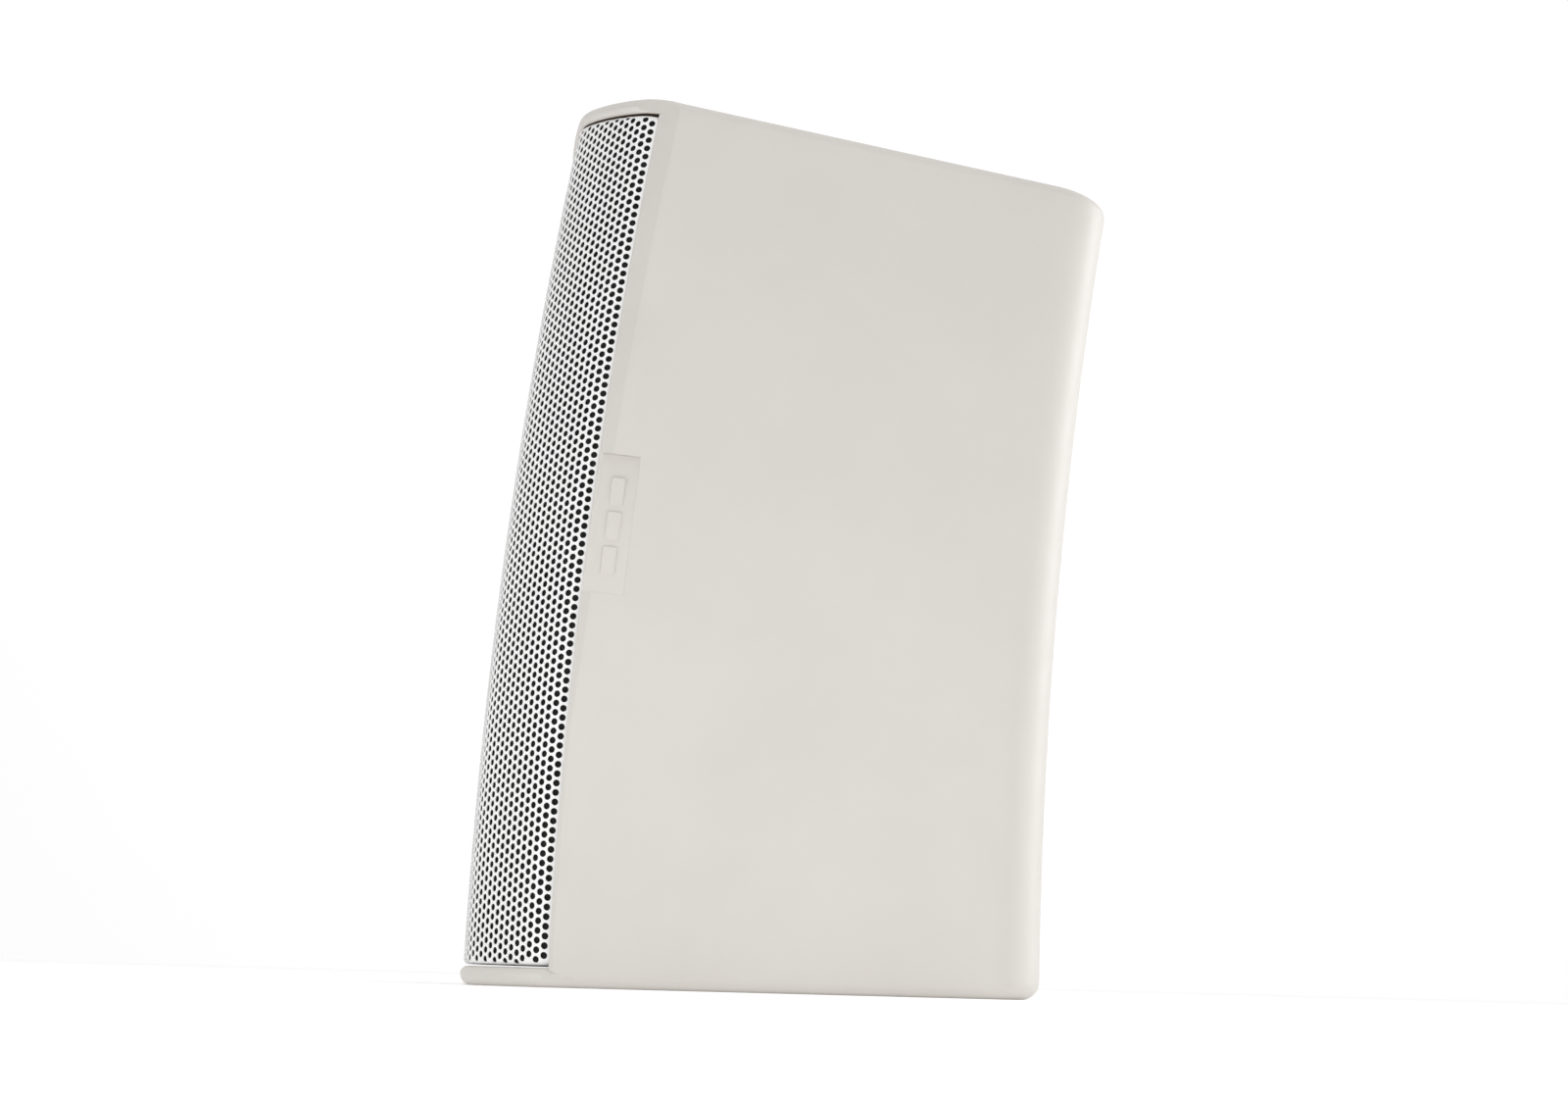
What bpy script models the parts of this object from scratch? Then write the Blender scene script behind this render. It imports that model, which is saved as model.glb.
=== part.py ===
"""Bookshelf speaker: a two-way cabinet bent along its height, with a wrap-round front grille.

Metres, +Z up. The front faces -Y. The cabinet is a plan outline swept along a large arc, so
that it stands upright at the bottom and leans back at the top. Places on it are given as
(x, n, v): x across, n outwards from the reference arc towards the front, v along that arc.
"""
import math

import bmesh
import bpy
from mathutils import Matrix, Vector

# ---- driving dimensions -------------------------------------------------------------------
HEIGHT = 0.398            # along the reference arc
HALF_WIDTH = 0.125        # at the front edge of the sides
REAR_DEPTH = 0.2145       # reference arc to the rear face
BEND_RADIUS = 2.610       # of the reference arc
SIDE_TAPER = math.radians(3.0)
REAR_CORNER_RADIUS = 0.029
EDGE_FILLET = 0.003

WALL = 0.0034             # sides
REAR_WALL = 0.004
LID_WALL = 0.005          # top and bottom
LIP_HEIGHT = 0.0080       # top and bottom lips in front of the baffle
LIP_PROUD = 0.0012        # lips stand this far proud of the grille
RIM_N = -0.0018           # front edge of the sides
GAP = 0.0003              # between pieces that touch

# The front section, from the middle outwards: arcs whose normals turn from one angle to the next
FRONT_N = 0.0417          # middle of the grille
FRONT_TURN = (0.0, 8.0)
CORNER_TURN = (8.0, 32.0)
FLANK_TURN = (32.0, 52.0)
EDGE_TURN = (52.0, 90.0)
FRONT_RADIUS = 0.579
CORNER_RADIUS = 0.0286
FLANK_RADIUS = 0.103
GRILLE_EDGE_X = 0.1215
GRILLE_BACK_N = -0.0075
GRILLE_SHEET = 0.0011
CLOTH_SHEET = 0.001

FLANGE_FRONT_N = -0.017   # ledge that the baffle is screwed to
FLANGE_BACK_N = -0.022
FLANGE_WIDTH = 0.012
BAFFLE_BACK_N = -0.0155
BAFFLE_STEP_N = -0.0083
BAFFLE_FRONT_N = 0.009
BAFFLE_SKIN = 0.005
SEAT_N = 0.011            # flat seats for the drivers

WOOFER_V = 0.122
TWEETER_V = 0.302
PORT_X = 0.083
PORT_V = 0.302
INPUT_V = 0.112
BRACKET_V = 0.285
BRACKET_SPACING = 0.070
LID_INSERT_N = -0.095
BADGE_SIZE = (0.0164, 0.062)
BADGE_N = -0.0118
BADGE_RECESS = 0.0011
BAFFLE_SCREW_X = 0.094
BAFFLE_SCREW_REACH = 0.0155   # from the lips
WOOFER_SCREW_CIRCLE = 0.0995  # radius
WAVEGUIDE_SCREW_CIRCLE = 0.0522
PLATE_SCREW_PLACE = (0.0631, 0.0431)

SWEEP_STEPS = 6
BIG_ROUND = 28
MID_ROUND = 20
SMALL_ROUND = 10

TOP_ANGLE = HEIGHT / BEND_RADIUS
# Puts the middle of the whole box at y = 0
FRONT_REACH = BEND_RADIUS + FRONT_N + LIP_PROUD
REAR_REACH = (BEND_RADIUS - REAR_DEPTH) * math.cos((HEIGHT - EDGE_FILLET) / BEND_RADIUS)
BEND_CENTRE_Y = (FRONT_REACH + REAR_REACH) / 2


def clear_scene():
    for thing in list(bpy.data.objects):
        bpy.data.objects.remove(thing, do_unlink=True)


# ---- placing ------------------------------------------------------------------------------
def bent(x, n, v):
    angle = v / BEND_RADIUS
    reach = BEND_RADIUS + n
    return Vector((x, BEND_CENTRE_Y - reach * math.cos(angle), reach * math.sin(angle)))


def front_frame(x, n, v):
    """Local Z points out of the front, local X is +X, local Y runs up the arc."""
    angle = v / BEND_RADIUS
    out = Vector((0, -math.cos(angle), math.sin(angle)))
    up = Vector((0, math.sin(angle), math.cos(angle)))
    return frame_of(Vector((1, 0, 0)), up, out, bent(x, n, v))


def rear_frame(x, n, v):
    """Local Z points out of the rear, local X is -X, local Y runs up the arc."""
    angle = v / BEND_RADIUS
    out = Vector((0, math.cos(angle), -math.sin(angle)))
    up = Vector((0, math.sin(angle), math.cos(angle)))
    return frame_of(Vector((-1, 0, 0)), up, out, bent(x, n, v))


def lid_frame(n, v, sign):
    """Local Z points out of the top (sign 1) or the bottom (sign -1)."""
    angle = v / BEND_RADIUS
    up = Vector((0, math.sin(angle), math.cos(angle))) * sign
    side = Vector((1, 0, 0))
    return frame_of(side, up.cross(side), up, bent(0, n, v))


def frame_of(x_axis, y_axis, z_axis, origin):
    frame = Matrix((x_axis, y_axis, z_axis)).transposed().to_4x4()
    frame.translation = origin
    return frame


# ---- materials ----------------------------------------------------------------------------
def finish(name, colour, roughness, metallic=0.0):
    material = bpy.data.materials.new(name)
    material.use_nodes = True
    shader = material.node_tree.nodes["Principled BSDF"]
    shader.inputs["Base Color"].default_value = (*colour, 1.0)
    shader.inputs["Roughness"].default_value = roughness
    shader.inputs["Metallic"].default_value = metallic
    return material


WHITE_SHELL = ((0.70, 0.67, 0.63), 0.45)
WHITE_STEEL = ((0.86, 0.86, 0.85), 0.40)
BLACK_PLASTIC = ((0.020, 0.020, 0.021), 0.55)
BLACK_FOAM = ((0.012, 0.012, 0.012), 0.95)
RUBBER = ((0.015, 0.015, 0.016), 0.65)
PAPER_CONE = ((0.055, 0.055, 0.058), 0.75)
SILK = ((0.03, 0.03, 0.032), 0.60)
STEEL = ((0.45, 0.45, 0.46), 0.35, 1.0)
FERRITE = ((0.035, 0.035, 0.037), 0.70)
ZINC = ((0.60, 0.60, 0.58), 0.30, 1.0)
BRASS = ((0.72, 0.55, 0.28), 0.30, 1.0)
COPPER = ((0.65, 0.28, 0.14), 0.35, 1.0)
BOARD_GREEN = ((0.03, 0.16, 0.07), 0.50)
WHITE_CERAMIC = ((0.72, 0.72, 0.70), 0.60)
YELLOW_FILM = ((0.62, 0.42, 0.06), 0.45)
SPIDER_CLOTH = ((0.55, 0.38, 0.12), 0.85)
WADDING = ((0.78, 0.78, 0.76), 1.0)
RED_PLASTIC = ((0.50, 0.02, 0.02), 0.40)


# ---- solids -------------------------------------------------------------------------------
def add_object(name, mesh, frame, look):
    thing = bpy.data.objects.new(name, mesh)
    bpy.context.scene.collection.objects.link(thing)
    thing.matrix_world = frame
    if look is None:
        thing.hide_render = True
        thing.display_type = 'WIRE'
    else:
        mesh.materials.append(finish(name, *look))
    return thing


def solid(name, points, faces, look, frame=None, smooth=False):
    """A closed mesh from points and faces, with its faces turned outwards."""
    mesh = bpy.data.meshes.new(name)
    shape = bmesh.new()
    corners = [shape.verts.new(point) for point in points]
    for face in faces:
        shape.faces.new([corners[index] for index in face])
    bmesh.ops.recalc_face_normals(shape, faces=shape.faces)
    shape.to_mesh(mesh)
    shape.free()
    if smooth:
        mesh.shade_smooth()
        mesh.set_sharp_from_angle(angle=math.radians(35))
    return add_object(name, mesh, frame or Matrix.Identity(4), look)


def sweep(name, outline, v_start, v_end, look, steps=SWEEP_STEPS, fillet=0.0):
    """The plan outline, a closed list of (x, n), swept up the arc."""
    count = len(outline)
    heights = [v_start + (v_end - v_start) * i / steps for i in range(steps + 1)]
    if fillet:
        heights = fillet_heights(v_start, v_end, fillet, steps)
    points = []
    for v, inset in ((h if isinstance(h, tuple) else (h, 0.0)) for h in heights):
        points += [bent(x, n, v) for x, n in shrink(outline, inset)]
    faces = [list(range(count)), [len(points) - count + i for i in range(count)]]
    for level in range(len(heights) - 1):
        low = level * count
        for i in range(count):
            j = (i + 1) % count
            faces.append([low + i, low + j, low + count + j, low + count + i])
    return solid(name, points, faces, look, smooth=look is not None)


def fillet_heights(v_start, v_end, radius, steps):
    """Heights with the inset of a quarter-round at both ends."""
    turns = (0.0, 45.0, 90.0)
    rounding = [(radius * (1 - math.sin(math.radians(t))), radius * (1 - math.cos(math.radians(t))))
                for t in reversed(turns)]
    rise = [(v_start + height, inset) for height, inset in rounding]
    fall = [(v_end - height, inset) for height, inset in reversed(rounding)]
    low, high = rise[-1][0], fall[0][0]
    middle = [(low + (high - low) * i / steps, 0.0) for i in range(1, steps)]
    return rise + middle + fall


def shrink(outline, inset):
    """The outline moved inwards by the inset, along the mean normal at each corner."""
    if not inset:
        return outline
    count = len(outline)
    area = sum(outline[i][0] * outline[(i + 1) % count][1] - outline[(i + 1) % count][0] * outline[i][1]
               for i in range(count))
    turn = 1.0 if area > 0 else -1.0
    moved = []
    for i, here in enumerate(outline):
        before = Vector(here) - Vector(outline[i - 1])
        after = Vector(outline[(i + 1) % count]) - Vector(here)
        normal_a = Vector((-before.y, before.x)).normalized() * turn
        normal_b = Vector((-after.y, after.x)).normalized() * turn
        mean = (normal_a + normal_b).normalized()
        moved.append(tuple(Vector(here) + mean * inset / max(mean.dot(normal_a), 0.3)))
    return moved


def turned(name, profile_mm, frame, look, segments):
    """A turned solid about local Z, from a profile of (radius, height) in millimetres.

    A profile that starts and ends on the axis is a solid; any other one is a ring.
    """
    profile = [(r / 1000, a / 1000) for r, a in profile_mm]
    points, rings = [], []
    for r, a in profile:
        if r == 0:
            rings.append([len(points)])
            points.append(Vector((0, 0, a)))
            continue
        rings.append(list(range(len(points), len(points) + segments)))
        for i in range(segments):
            turn = 2 * math.pi * (i + 0.5) / segments
            points.append(Vector((r * math.cos(turn), r * math.sin(turn), a)))
    pairs = list(zip(rings, rings[1:]))
    if profile[0][0] > 0 or profile[-1][0] > 0:
        pairs.append((rings[-1], rings[0]))
    faces = []
    for low, high in pairs:
        for i in range(segments):
            j = (i + 1) % segments
            if len(low) == 1 and len(high) == 1:
                break
            if len(low) == 1:
                faces.append([low[0], high[i], high[j]])
            elif len(high) == 1:
                faces.append([low[i], low[j], high[0]])
            else:
                faces.append([low[i], low[j], high[j], high[i]])
    return solid(name, points, faces, look, frame, smooth=look is not None)


def block(name, low, high, frame, look):
    """A box between two corners in the frame's own axes."""
    points = [Vector((x, y, z)) for z in (low[2], high[2])
              for y in (low[1], high[1]) for x in (low[0], high[0])]
    faces = [[0, 1, 3, 2], [4, 5, 7, 6], [0, 1, 5, 4], [2, 3, 7, 6], [0, 2, 6, 4], [1, 3, 7, 5]]
    return solid(name, points, faces, look, frame)


def rod(name, radius, low, high, frame, look, segments=SMALL_ROUND):
    radius, low, high = radius * 1000, low * 1000, high * 1000
    return turned(name, [(0, low), (radius, low), (radius, high), (0, high)], frame, look, segments)


def ring(name, radii_mm, heights_mm, frame, look, segments=BIG_ROUND):
    (inner, outer), (low, high) = radii_mm, heights_mm
    return turned(name, [(inner, low), (outer, low), (outer, high), (inner, high)], frame, look, segments)


def shift(frame, x=0.0, y=0.0, z=0.0):
    return frame @ Matrix.Translation((x, y, z))


def combine(target, operation, others):
    for other in others:
        step = target.modifiers.new(other.name, 'BOOLEAN')
        step.operation = operation
        step.solver = 'EXACT'
        step.object = other


def cut(target, *others):
    combine(target, 'DIFFERENCE', others)


def fuse(target, *others):
    combine(target, 'UNION', others)


# ---- outlines -----------------------------------------------------------------------------
def front_half(offset, edge_x, counts=(2, 3, 2, 4)):
    """Right half of the front section, middle to edge, moved outwards by the offset.

    The last arc ends square to the side at edge_x.
    """
    points = []
    x, n = 0.0, FRONT_N
    turns = (FRONT_TURN, CORNER_TURN, FLANK_TURN)
    radii = (FRONT_RADIUS, CORNER_RADIUS, FLANK_RADIUS)
    for (start, end), radius, count in zip(turns, radii, counts):
        start, end = math.radians(start), math.radians(end)
        for i in range(count):
            turn = start + (end - start) * i / count
            px = x + radius * (math.sin(turn) - math.sin(start))
            pn = n - radius * (math.cos(start) - math.cos(turn))
            points.append((px + offset * math.sin(turn), pn + offset * math.cos(turn)))
        x += radius * (math.sin(end) - math.sin(start))
        n -= radius * (math.cos(start) - math.cos(end))
    start, end = (math.radians(turn) for turn in EDGE_TURN)
    x, n = x + offset * math.sin(start), n + offset * math.cos(start)
    radius = (edge_x - x) / (math.sin(end) - math.sin(start))
    for i in range(counts[3] + 1):
        turn = start + (end - start) * i / counts[3]
        points.append((x + radius * (math.sin(turn) - math.sin(start)),
                       n - radius * (math.cos(start) - math.cos(turn))))
    return points


def mirrored(half):
    """A closed outline from its right half, which starts on the middle line."""
    left = [(-x, n) for x, n in reversed(half) if x > 1e-6]
    return half + left


def side_x(n):
    return HALF_WIDTH + n * math.tan(SIDE_TAPER)


def rear_half(inset, rear_n, corner, steps=5):
    """Right half of the side and rear, ending on the middle line."""
    centre_n = rear_n + corner
    centre_x = side_x(centre_n) - inset - corner
    points = []
    for i in range(steps + 1):
        turn = math.pi / 2 * i / steps
        points.append((centre_x + corner * math.cos(turn), centre_n - corner * math.sin(turn)))
    return points + [(0.0, rear_n)]


def tray_outline(offset, edge_x, back_n):
    return mirrored(front_half(offset, edge_x) + [(edge_x, back_n)])


# ---- cabinet ------------------------------------------------------------------------------
def make_cabinet_shell():
    outline = mirrored(front_half(LIP_PROUD, HALF_WIDTH) + rear_half(0.0, -REAR_DEPTH, REAR_CORNER_RADIUS))
    shell = sweep('cabinet_shell', outline, 0.0, HEIGHT, WHITE_SHELL, fillet=EDGE_FILLET)

    inner_x = HALF_WIDTH - WALL + 0.0002
    pocket = mirrored([(0.0, 0.065), (0.135, 0.065), (0.135, RIM_N), (inner_x, RIM_N),
                       (inner_x, FLANGE_FRONT_N), (0.0, FLANGE_FRONT_N)])
    window_x = inner_x - FLANGE_WIDTH
    window = [(window_x, -0.010), (window_x, -0.030), (-window_x, -0.030), (-window_x, -0.010)]
    low, high = LIP_HEIGHT, HEIGHT - LIP_HEIGHT
    cavity_half = [(0.0, FLANGE_BACK_N), (side_x(FLANGE_BACK_N) - WALL, FLANGE_BACK_N)]
    cavity_half += rear_half(WALL, REAR_WALL - REAR_DEPTH, REAR_CORNER_RADIUS - REAR_WALL)
    cut(shell,
        sweep('pocket_cutter', pocket, low, high, None),
        sweep('cavity_cutter', mirrored(cavity_half), LID_WALL, HEIGHT - LID_WALL, None),
        sweep('window_cutter', window, low + FLANGE_WIDTH, high - FLANGE_WIDTH, None))

    rear_seat = rear_frame(0.0, -REAR_DEPTH, INPUT_V)
    bracket = rear_frame(0.0, -REAR_DEPTH, BRACKET_V)
    fuse(shell, block('input_pad', (-0.075, -0.055, -0.0095), (0.075, 0.055, -0.002), rear_seat, None))
    for name, frame in insert_frames():
        fuse(shell, rod(name + '_boss', 0.0085, -0.012, -0.0015, frame, None))
    cut(shell,
        block('plate_pocket', (-0.0673, -0.0473, -0.0033), (0.0673, 0.0473, 0.01), rear_seat, None),
        block('plate_window', (-0.0593, -0.0393, -0.02), (0.0593, 0.0393, 0.01), rear_seat, None),
        block('bracket_seat', (-0.032, -0.058, -0.0012), (0.032, 0.058, 0.01), bracket, None),
        block('badge_recess', (-BADGE_SIZE[0] / 2 - GAP, -BADGE_SIZE[1] / 2 - GAP, -BADGE_RECESS),
              (BADGE_SIZE[0] / 2 + GAP, BADGE_SIZE[1] / 2 + GAP, 0.01), badge_frame(), None))
    for name, frame in insert_frames():
        cut(shell, rod(name + '_hole', 0.0045, -0.0105, 0.01, frame, None))
    for index, (x, y) in enumerate(plate_screw_places(), 1):
        cut(shell, rod(f'plate_hole_{index}', 0.0018, -0.02, 0.01, shift(rear_seat, x, y), None))
    for index, frame in enumerate(baffle_screw_frames(), 1):
        cut(shell, rod(f'ledge_hole_{index}', 0.0021, -0.030, 0.020, frame, None))
    return shell


def badge_frame():
    """Local Z points out of the right side, local X towards the rear, local Y up."""
    angle = HEIGHT / 2 / BEND_RADIUS
    tilt = SIDE_TAPER
    forward = Vector((0, -math.cos(angle), math.sin(angle)))
    up = Vector((0, math.sin(angle), math.cos(angle)))
    out = (Vector((1, 0, 0)) * math.cos(tilt) - forward * math.sin(tilt)).normalized()
    along = up.cross(out)
    return frame_of(along, up, out, bent(side_x(BADGE_N), BADGE_N, HEIGHT / 2))


def insert_frames():
    frames = [('insert_top', lid_frame(LID_INSERT_N, HEIGHT, 1)),
              ('insert_bottom', lid_frame(LID_INSERT_N, 0.0, -1))]
    bracket = shift(rear_frame(0.0, -REAR_DEPTH, BRACKET_V), z=-0.0012)
    frames.append(('insert_rear_upper', shift(bracket, y=BRACKET_SPACING / 2)))
    frames.append(('insert_rear_lower', shift(bracket, y=-BRACKET_SPACING / 2)))
    return frames


def plate_screw_places():
    across, up = PLATE_SCREW_PLACE
    return [(x, y) for y in (-up, up) for x in (-across, across)]


def baffle_screw_frames():
    """Frames on the baffle's front, near its corners, where its fixing screws' heads rest."""
    reach = LIP_HEIGHT + BAFFLE_SCREW_REACH
    return [front_frame(x, BAFFLE_FRONT_N, v) for v in (reach, HEIGHT - reach)
            for x in (-BAFFLE_SCREW_X, BAFFLE_SCREW_X)]


def make_inserts():
    tube = [(2.6, -9.8), (4.2, -9.8), (4.2, -0.4), (2.6, -0.4)]
    for name, frame in insert_frames():
        turned(name, tube, frame, BRASS, SMALL_ROUND)


def make_badge():
    frame = badge_frame()
    half_w, half_h = BADGE_SIZE[0] / 2, BADGE_SIZE[1] / 2
    block('side_badge', (-half_w, -half_h, GAP - BADGE_RECESS), (half_w, half_h, -GAP), frame, WHITE_SHELL)


# ---- baffle -------------------------------------------------------------------------------
def make_baffle():
    edge_x = HALF_WIDTH - WALL - 0.0004
    flange = [(edge_x, BAFFLE_STEP_N), (edge_x, BAFFLE_BACK_N),
              (-edge_x, BAFFLE_BACK_N), (-edge_x, BAFFLE_STEP_N)]
    raised = [(0.109, BAFFLE_FRONT_N), (0.1165, BAFFLE_STEP_N - 0.002),
              (-0.1165, BAFFLE_STEP_N - 0.002), (-0.109, BAFFLE_FRONT_N)]
    hollow_n = BAFFLE_FRONT_N - BAFFLE_SKIN
    hollow = [(0.104, hollow_n), (0.1095, BAFFLE_BACK_N - 0.003),
              (-0.1095, BAFFLE_BACK_N - 0.003), (-0.104, hollow_n)]
    ends = (LIP_HEIGHT + GAP, HEIGHT - LIP_HEIGHT - GAP)
    baffle = sweep('front_baffle', flange, *ends, BLACK_PLASTIC)
    woofer = front_frame(0, SEAT_N, WOOFER_V)
    tweeter = front_frame(0, SEAT_N, TWEETER_V)
    fuse(baffle, sweep('raised_block', raised, ends[0] + 0.004, ends[1] - 0.004, None))
    cut(baffle, sweep('hollow_cutter', hollow, ends[0] + 0.013, ends[1] - 0.013, None))
    fuse(baffle,
         rod('woofer_seat', 0.108, -0.0085, 0.0, woofer, None, BIG_ROUND),
         rod('tweeter_seat', 0.059, -0.0085, 0.0, tweeter, None, MID_ROUND))
    cut(baffle,
        rod('woofer_opening', 0.0925, -0.05, 0.02, woofer, None, BIG_ROUND),
        rod('tweeter_opening', 0.047, -0.05, 0.02, tweeter, None, MID_ROUND))
    for side, x in (('left', -PORT_X), ('right', PORT_X)):
        seat = front_frame(x, SEAT_N, PORT_V)
        cut(baffle, rod(f'port_opening_{side}', 0.0188, -0.05, 0.02, seat, None, MID_ROUND))
    for index, frame in enumerate(woofer_screw_frames(woofer), 1):
        cut(baffle, rod(f'woofer_hole_{index}', 0.0023, -0.03, 0.01, frame, None))
    for index, frame in enumerate(waveguide_screw_frames(tweeter), 1):
        cut(baffle, rod(f'waveguide_hole_{index}', 0.0018, -0.03, 0.01, frame, None))
    for index, frame in enumerate(baffle_screw_frames(), 1):
        cut(baffle, rod(f'baffle_hole_{index}', 0.0021, -0.04, 0.02, frame, None))
    return baffle


def make_baffle_gasket():
    """Foam ring between the baffle's flange and the ledge in the shell."""
    outer_x = HALF_WIDTH - WALL - 0.001
    inner_x = outer_x - 0.008
    depths = (BAFFLE_BACK_N - GAP, FLANGE_FRONT_N + GAP)
    outer = [(outer_x, depths[0]), (outer_x, depths[1]), (-outer_x, depths[1]), (-outer_x, depths[0])]
    inner = [(inner_x, 0.0), (inner_x, -0.03), (-inner_x, -0.03), (-inner_x, 0.0)]
    low, high = LIP_HEIGHT + 0.001, HEIGHT - LIP_HEIGHT - 0.001
    ring = sweep('baffle_gasket', outer, low, high, BLACK_FOAM)
    cut(ring, sweep('gasket_cutter', inner, low + 0.008, high - 0.008, None))


def make_grille():
    low, high = LIP_HEIGHT + 0.0004, HEIGHT - LIP_HEIGHT - 0.0004
    outside = tray_outline(0.0, GRILLE_EDGE_X, GRILLE_BACK_N)
    grille = sweep('grille', outside, low, high, WHITE_STEEL, fillet=0.0012)
    inner_x = GRILLE_EDGE_X - GRILLE_SHEET
    cut(grille, sweep('grille_hollow', tray_outline(-GRILLE_SHEET, inner_x, -0.03),
                      low + GRILLE_SHEET, high - GRILLE_SHEET, None))
    skin = GRILLE_SHEET + GAP
    cloth = sweep('grille_cloth', tray_outline(-skin, GRILLE_EDGE_X - skin, GRILLE_BACK_N),
                  low + skin, high - skin, BLACK_FOAM)
    skin += CLOTH_SHEET
    cut(cloth, sweep('cloth_hollow', tray_outline(-skin, GRILLE_EDGE_X - skin, -0.03),
                     low + skin, high - skin, None))


def screw_circle(frame, radius):
    """Four frames at the corners of a round driver."""
    return [frame @ Matrix.Rotation(math.radians(turn), 4, 'Z') @ Matrix.Translation((radius, 0, 0))
            for turn in (45, 135, 225, 315)]


# ---- woofer -------------------------------------------------------------------------------
def woofer_screw_frames(woofer):
    return screw_circle(woofer, WOOFER_SCREW_CIRCLE)


def make_woofer():
    frame = front_frame(0, SEAT_N, WOOFER_V)
    ring('woofer_gasket', (93.5, 96.0), (0.3, 1.3), frame, BLACK_FOAM)
    basket = turned('woofer_basket', [
        (105, 1.6), (105, 5.1), (86.5, 5.1), (85.5, 2.0), (83.0, -8.0), (53.5, -46.0), (46.0, -46.0),
        (46.0, -54.7), (26.0, -54.7), (26.0, -57.7), (50.5, -57.7), (50.5, -49.2), (56.0, -49.2),
        (90.0, -8.5), (91.8, 1.6)], frame, FERRITE, BIG_ROUND)
    for index in range(6):
        spoke_turn = Matrix.Rotation(math.radians(60 * index), 4, 'Z')
        cut(basket, block(f'basket_window_{index + 1}', (0.051, -0.021, -0.040), (0.120, 0.021, -0.010),
                          frame @ spoke_turn, None))
    for index, place in enumerate(woofer_screw_frames(frame), 1):
        cut(basket, rod(f'basket_hole_{index}', 0.0023, -0.01, 0.01, place, None))
        make_screw(f'woofer_screw_{index}', shift(place, z=0.0054), 0.0042, 0.0020, 0.0145)
    turned('woofer_surround', [
        (91.0, 5.4), (91.0, 6.1), (87.6, 6.1), (86.6, 9.6), (84.0, 12.0), (81.5, 12.6), (79.0, 12.0),
        (76.8, 9.6), (76.2, 5.0), (76.2, -2.0), (77.0, -2.0), (77.0, 5.0), (77.6, 9.2), (79.3, 11.2),
        (81.5, 11.8), (83.7, 11.2), (85.8, 9.2), (86.9, 5.4)], frame, RUBBER, BIG_ROUND)
    turned('woofer_cone', [
        (75.6, -2.0), (75.6, -0.9), (73.5, -0.6), (48.0, -15.5), (21.0, -34.0), (20.2, -34.0), (20.2, -36.5),
        (21.2, -36.5), (47.6, -17.0), (73.0, -2.0)], frame, PAPER_CONE, BIG_ROUND)
    cap_top = [(0, -14.0), (10.0, -14.9), (19.0, -17.6), (27.0, -22.3), (30.6, -25.8)]
    cap_back = [(r, a - 0.8) for r, a in reversed(cap_top)]
    turned('woofer_dust_cap', cap_top + cap_back, frame, PAPER_CONE, BIG_ROUND)
    ring('woofer_voice_coil', (19.0, 19.9), (-68.0, -35.0), frame, COPPER)
    turned('woofer_spider', spider_profile(), frame, SPIDER_CLOTH, BIG_ROUND)
    ring('woofer_front_plate', (21.2, 48.0), (-64.0, -58.0), frame, STEEL)
    ring('woofer_magnet', (27.0, 55.0), (-82.0, -64.3), frame, FERRITE)
    turned('woofer_pole_yoke', [
        (5.0, -90.0), (48.0, -90.0), (50.0, -88.0), (50.0, -82.3), (17.8, -82.3), (17.8, -58.0), (5.0, -58.0)],
        frame, STEEL, BIG_ROUND)


def spider_profile():
    """A corrugated cloth disc, 0.8 mm thick, resting on the basket's inner shelf."""
    folds, inner, outer, rest = 3, 21.0, 52.0, -45.0
    top = []
    steps = folds * 2
    for i in range(steps + 1):
        r = inner + (outer - 5.0 - inner) * i / steps
        top.append((r, rest + 0.4 + (1.2 if i % 2 else 0.0)))
    top += [(outer, rest + 0.4)]
    return top + [(r, a - 0.8) for r, a in reversed(top)]


def make_screw(name, seat, head_radius, shank_radius, length, head_height=0.0024):
    """A pan-head screw whose head rests on the seat and whose shank runs along -Z."""
    head, shank, tall, long = (value * 1000 for value in (head_radius, shank_radius, head_height, length))
    turned(name, [(0, tall), (head * 0.55, tall), (head * 0.9, tall * 0.7), (head, tall * 0.25), (head, 0),
                  (shank, 0), (shank, -long + 1.5), (0, -long)], seat, ZINC, SMALL_ROUND)


# ---- tweeter ------------------------------------------------------------------------------
def waveguide_screw_frames(tweeter):
    return screw_circle(tweeter, WAVEGUIDE_SCREW_CIRCLE)


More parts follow.
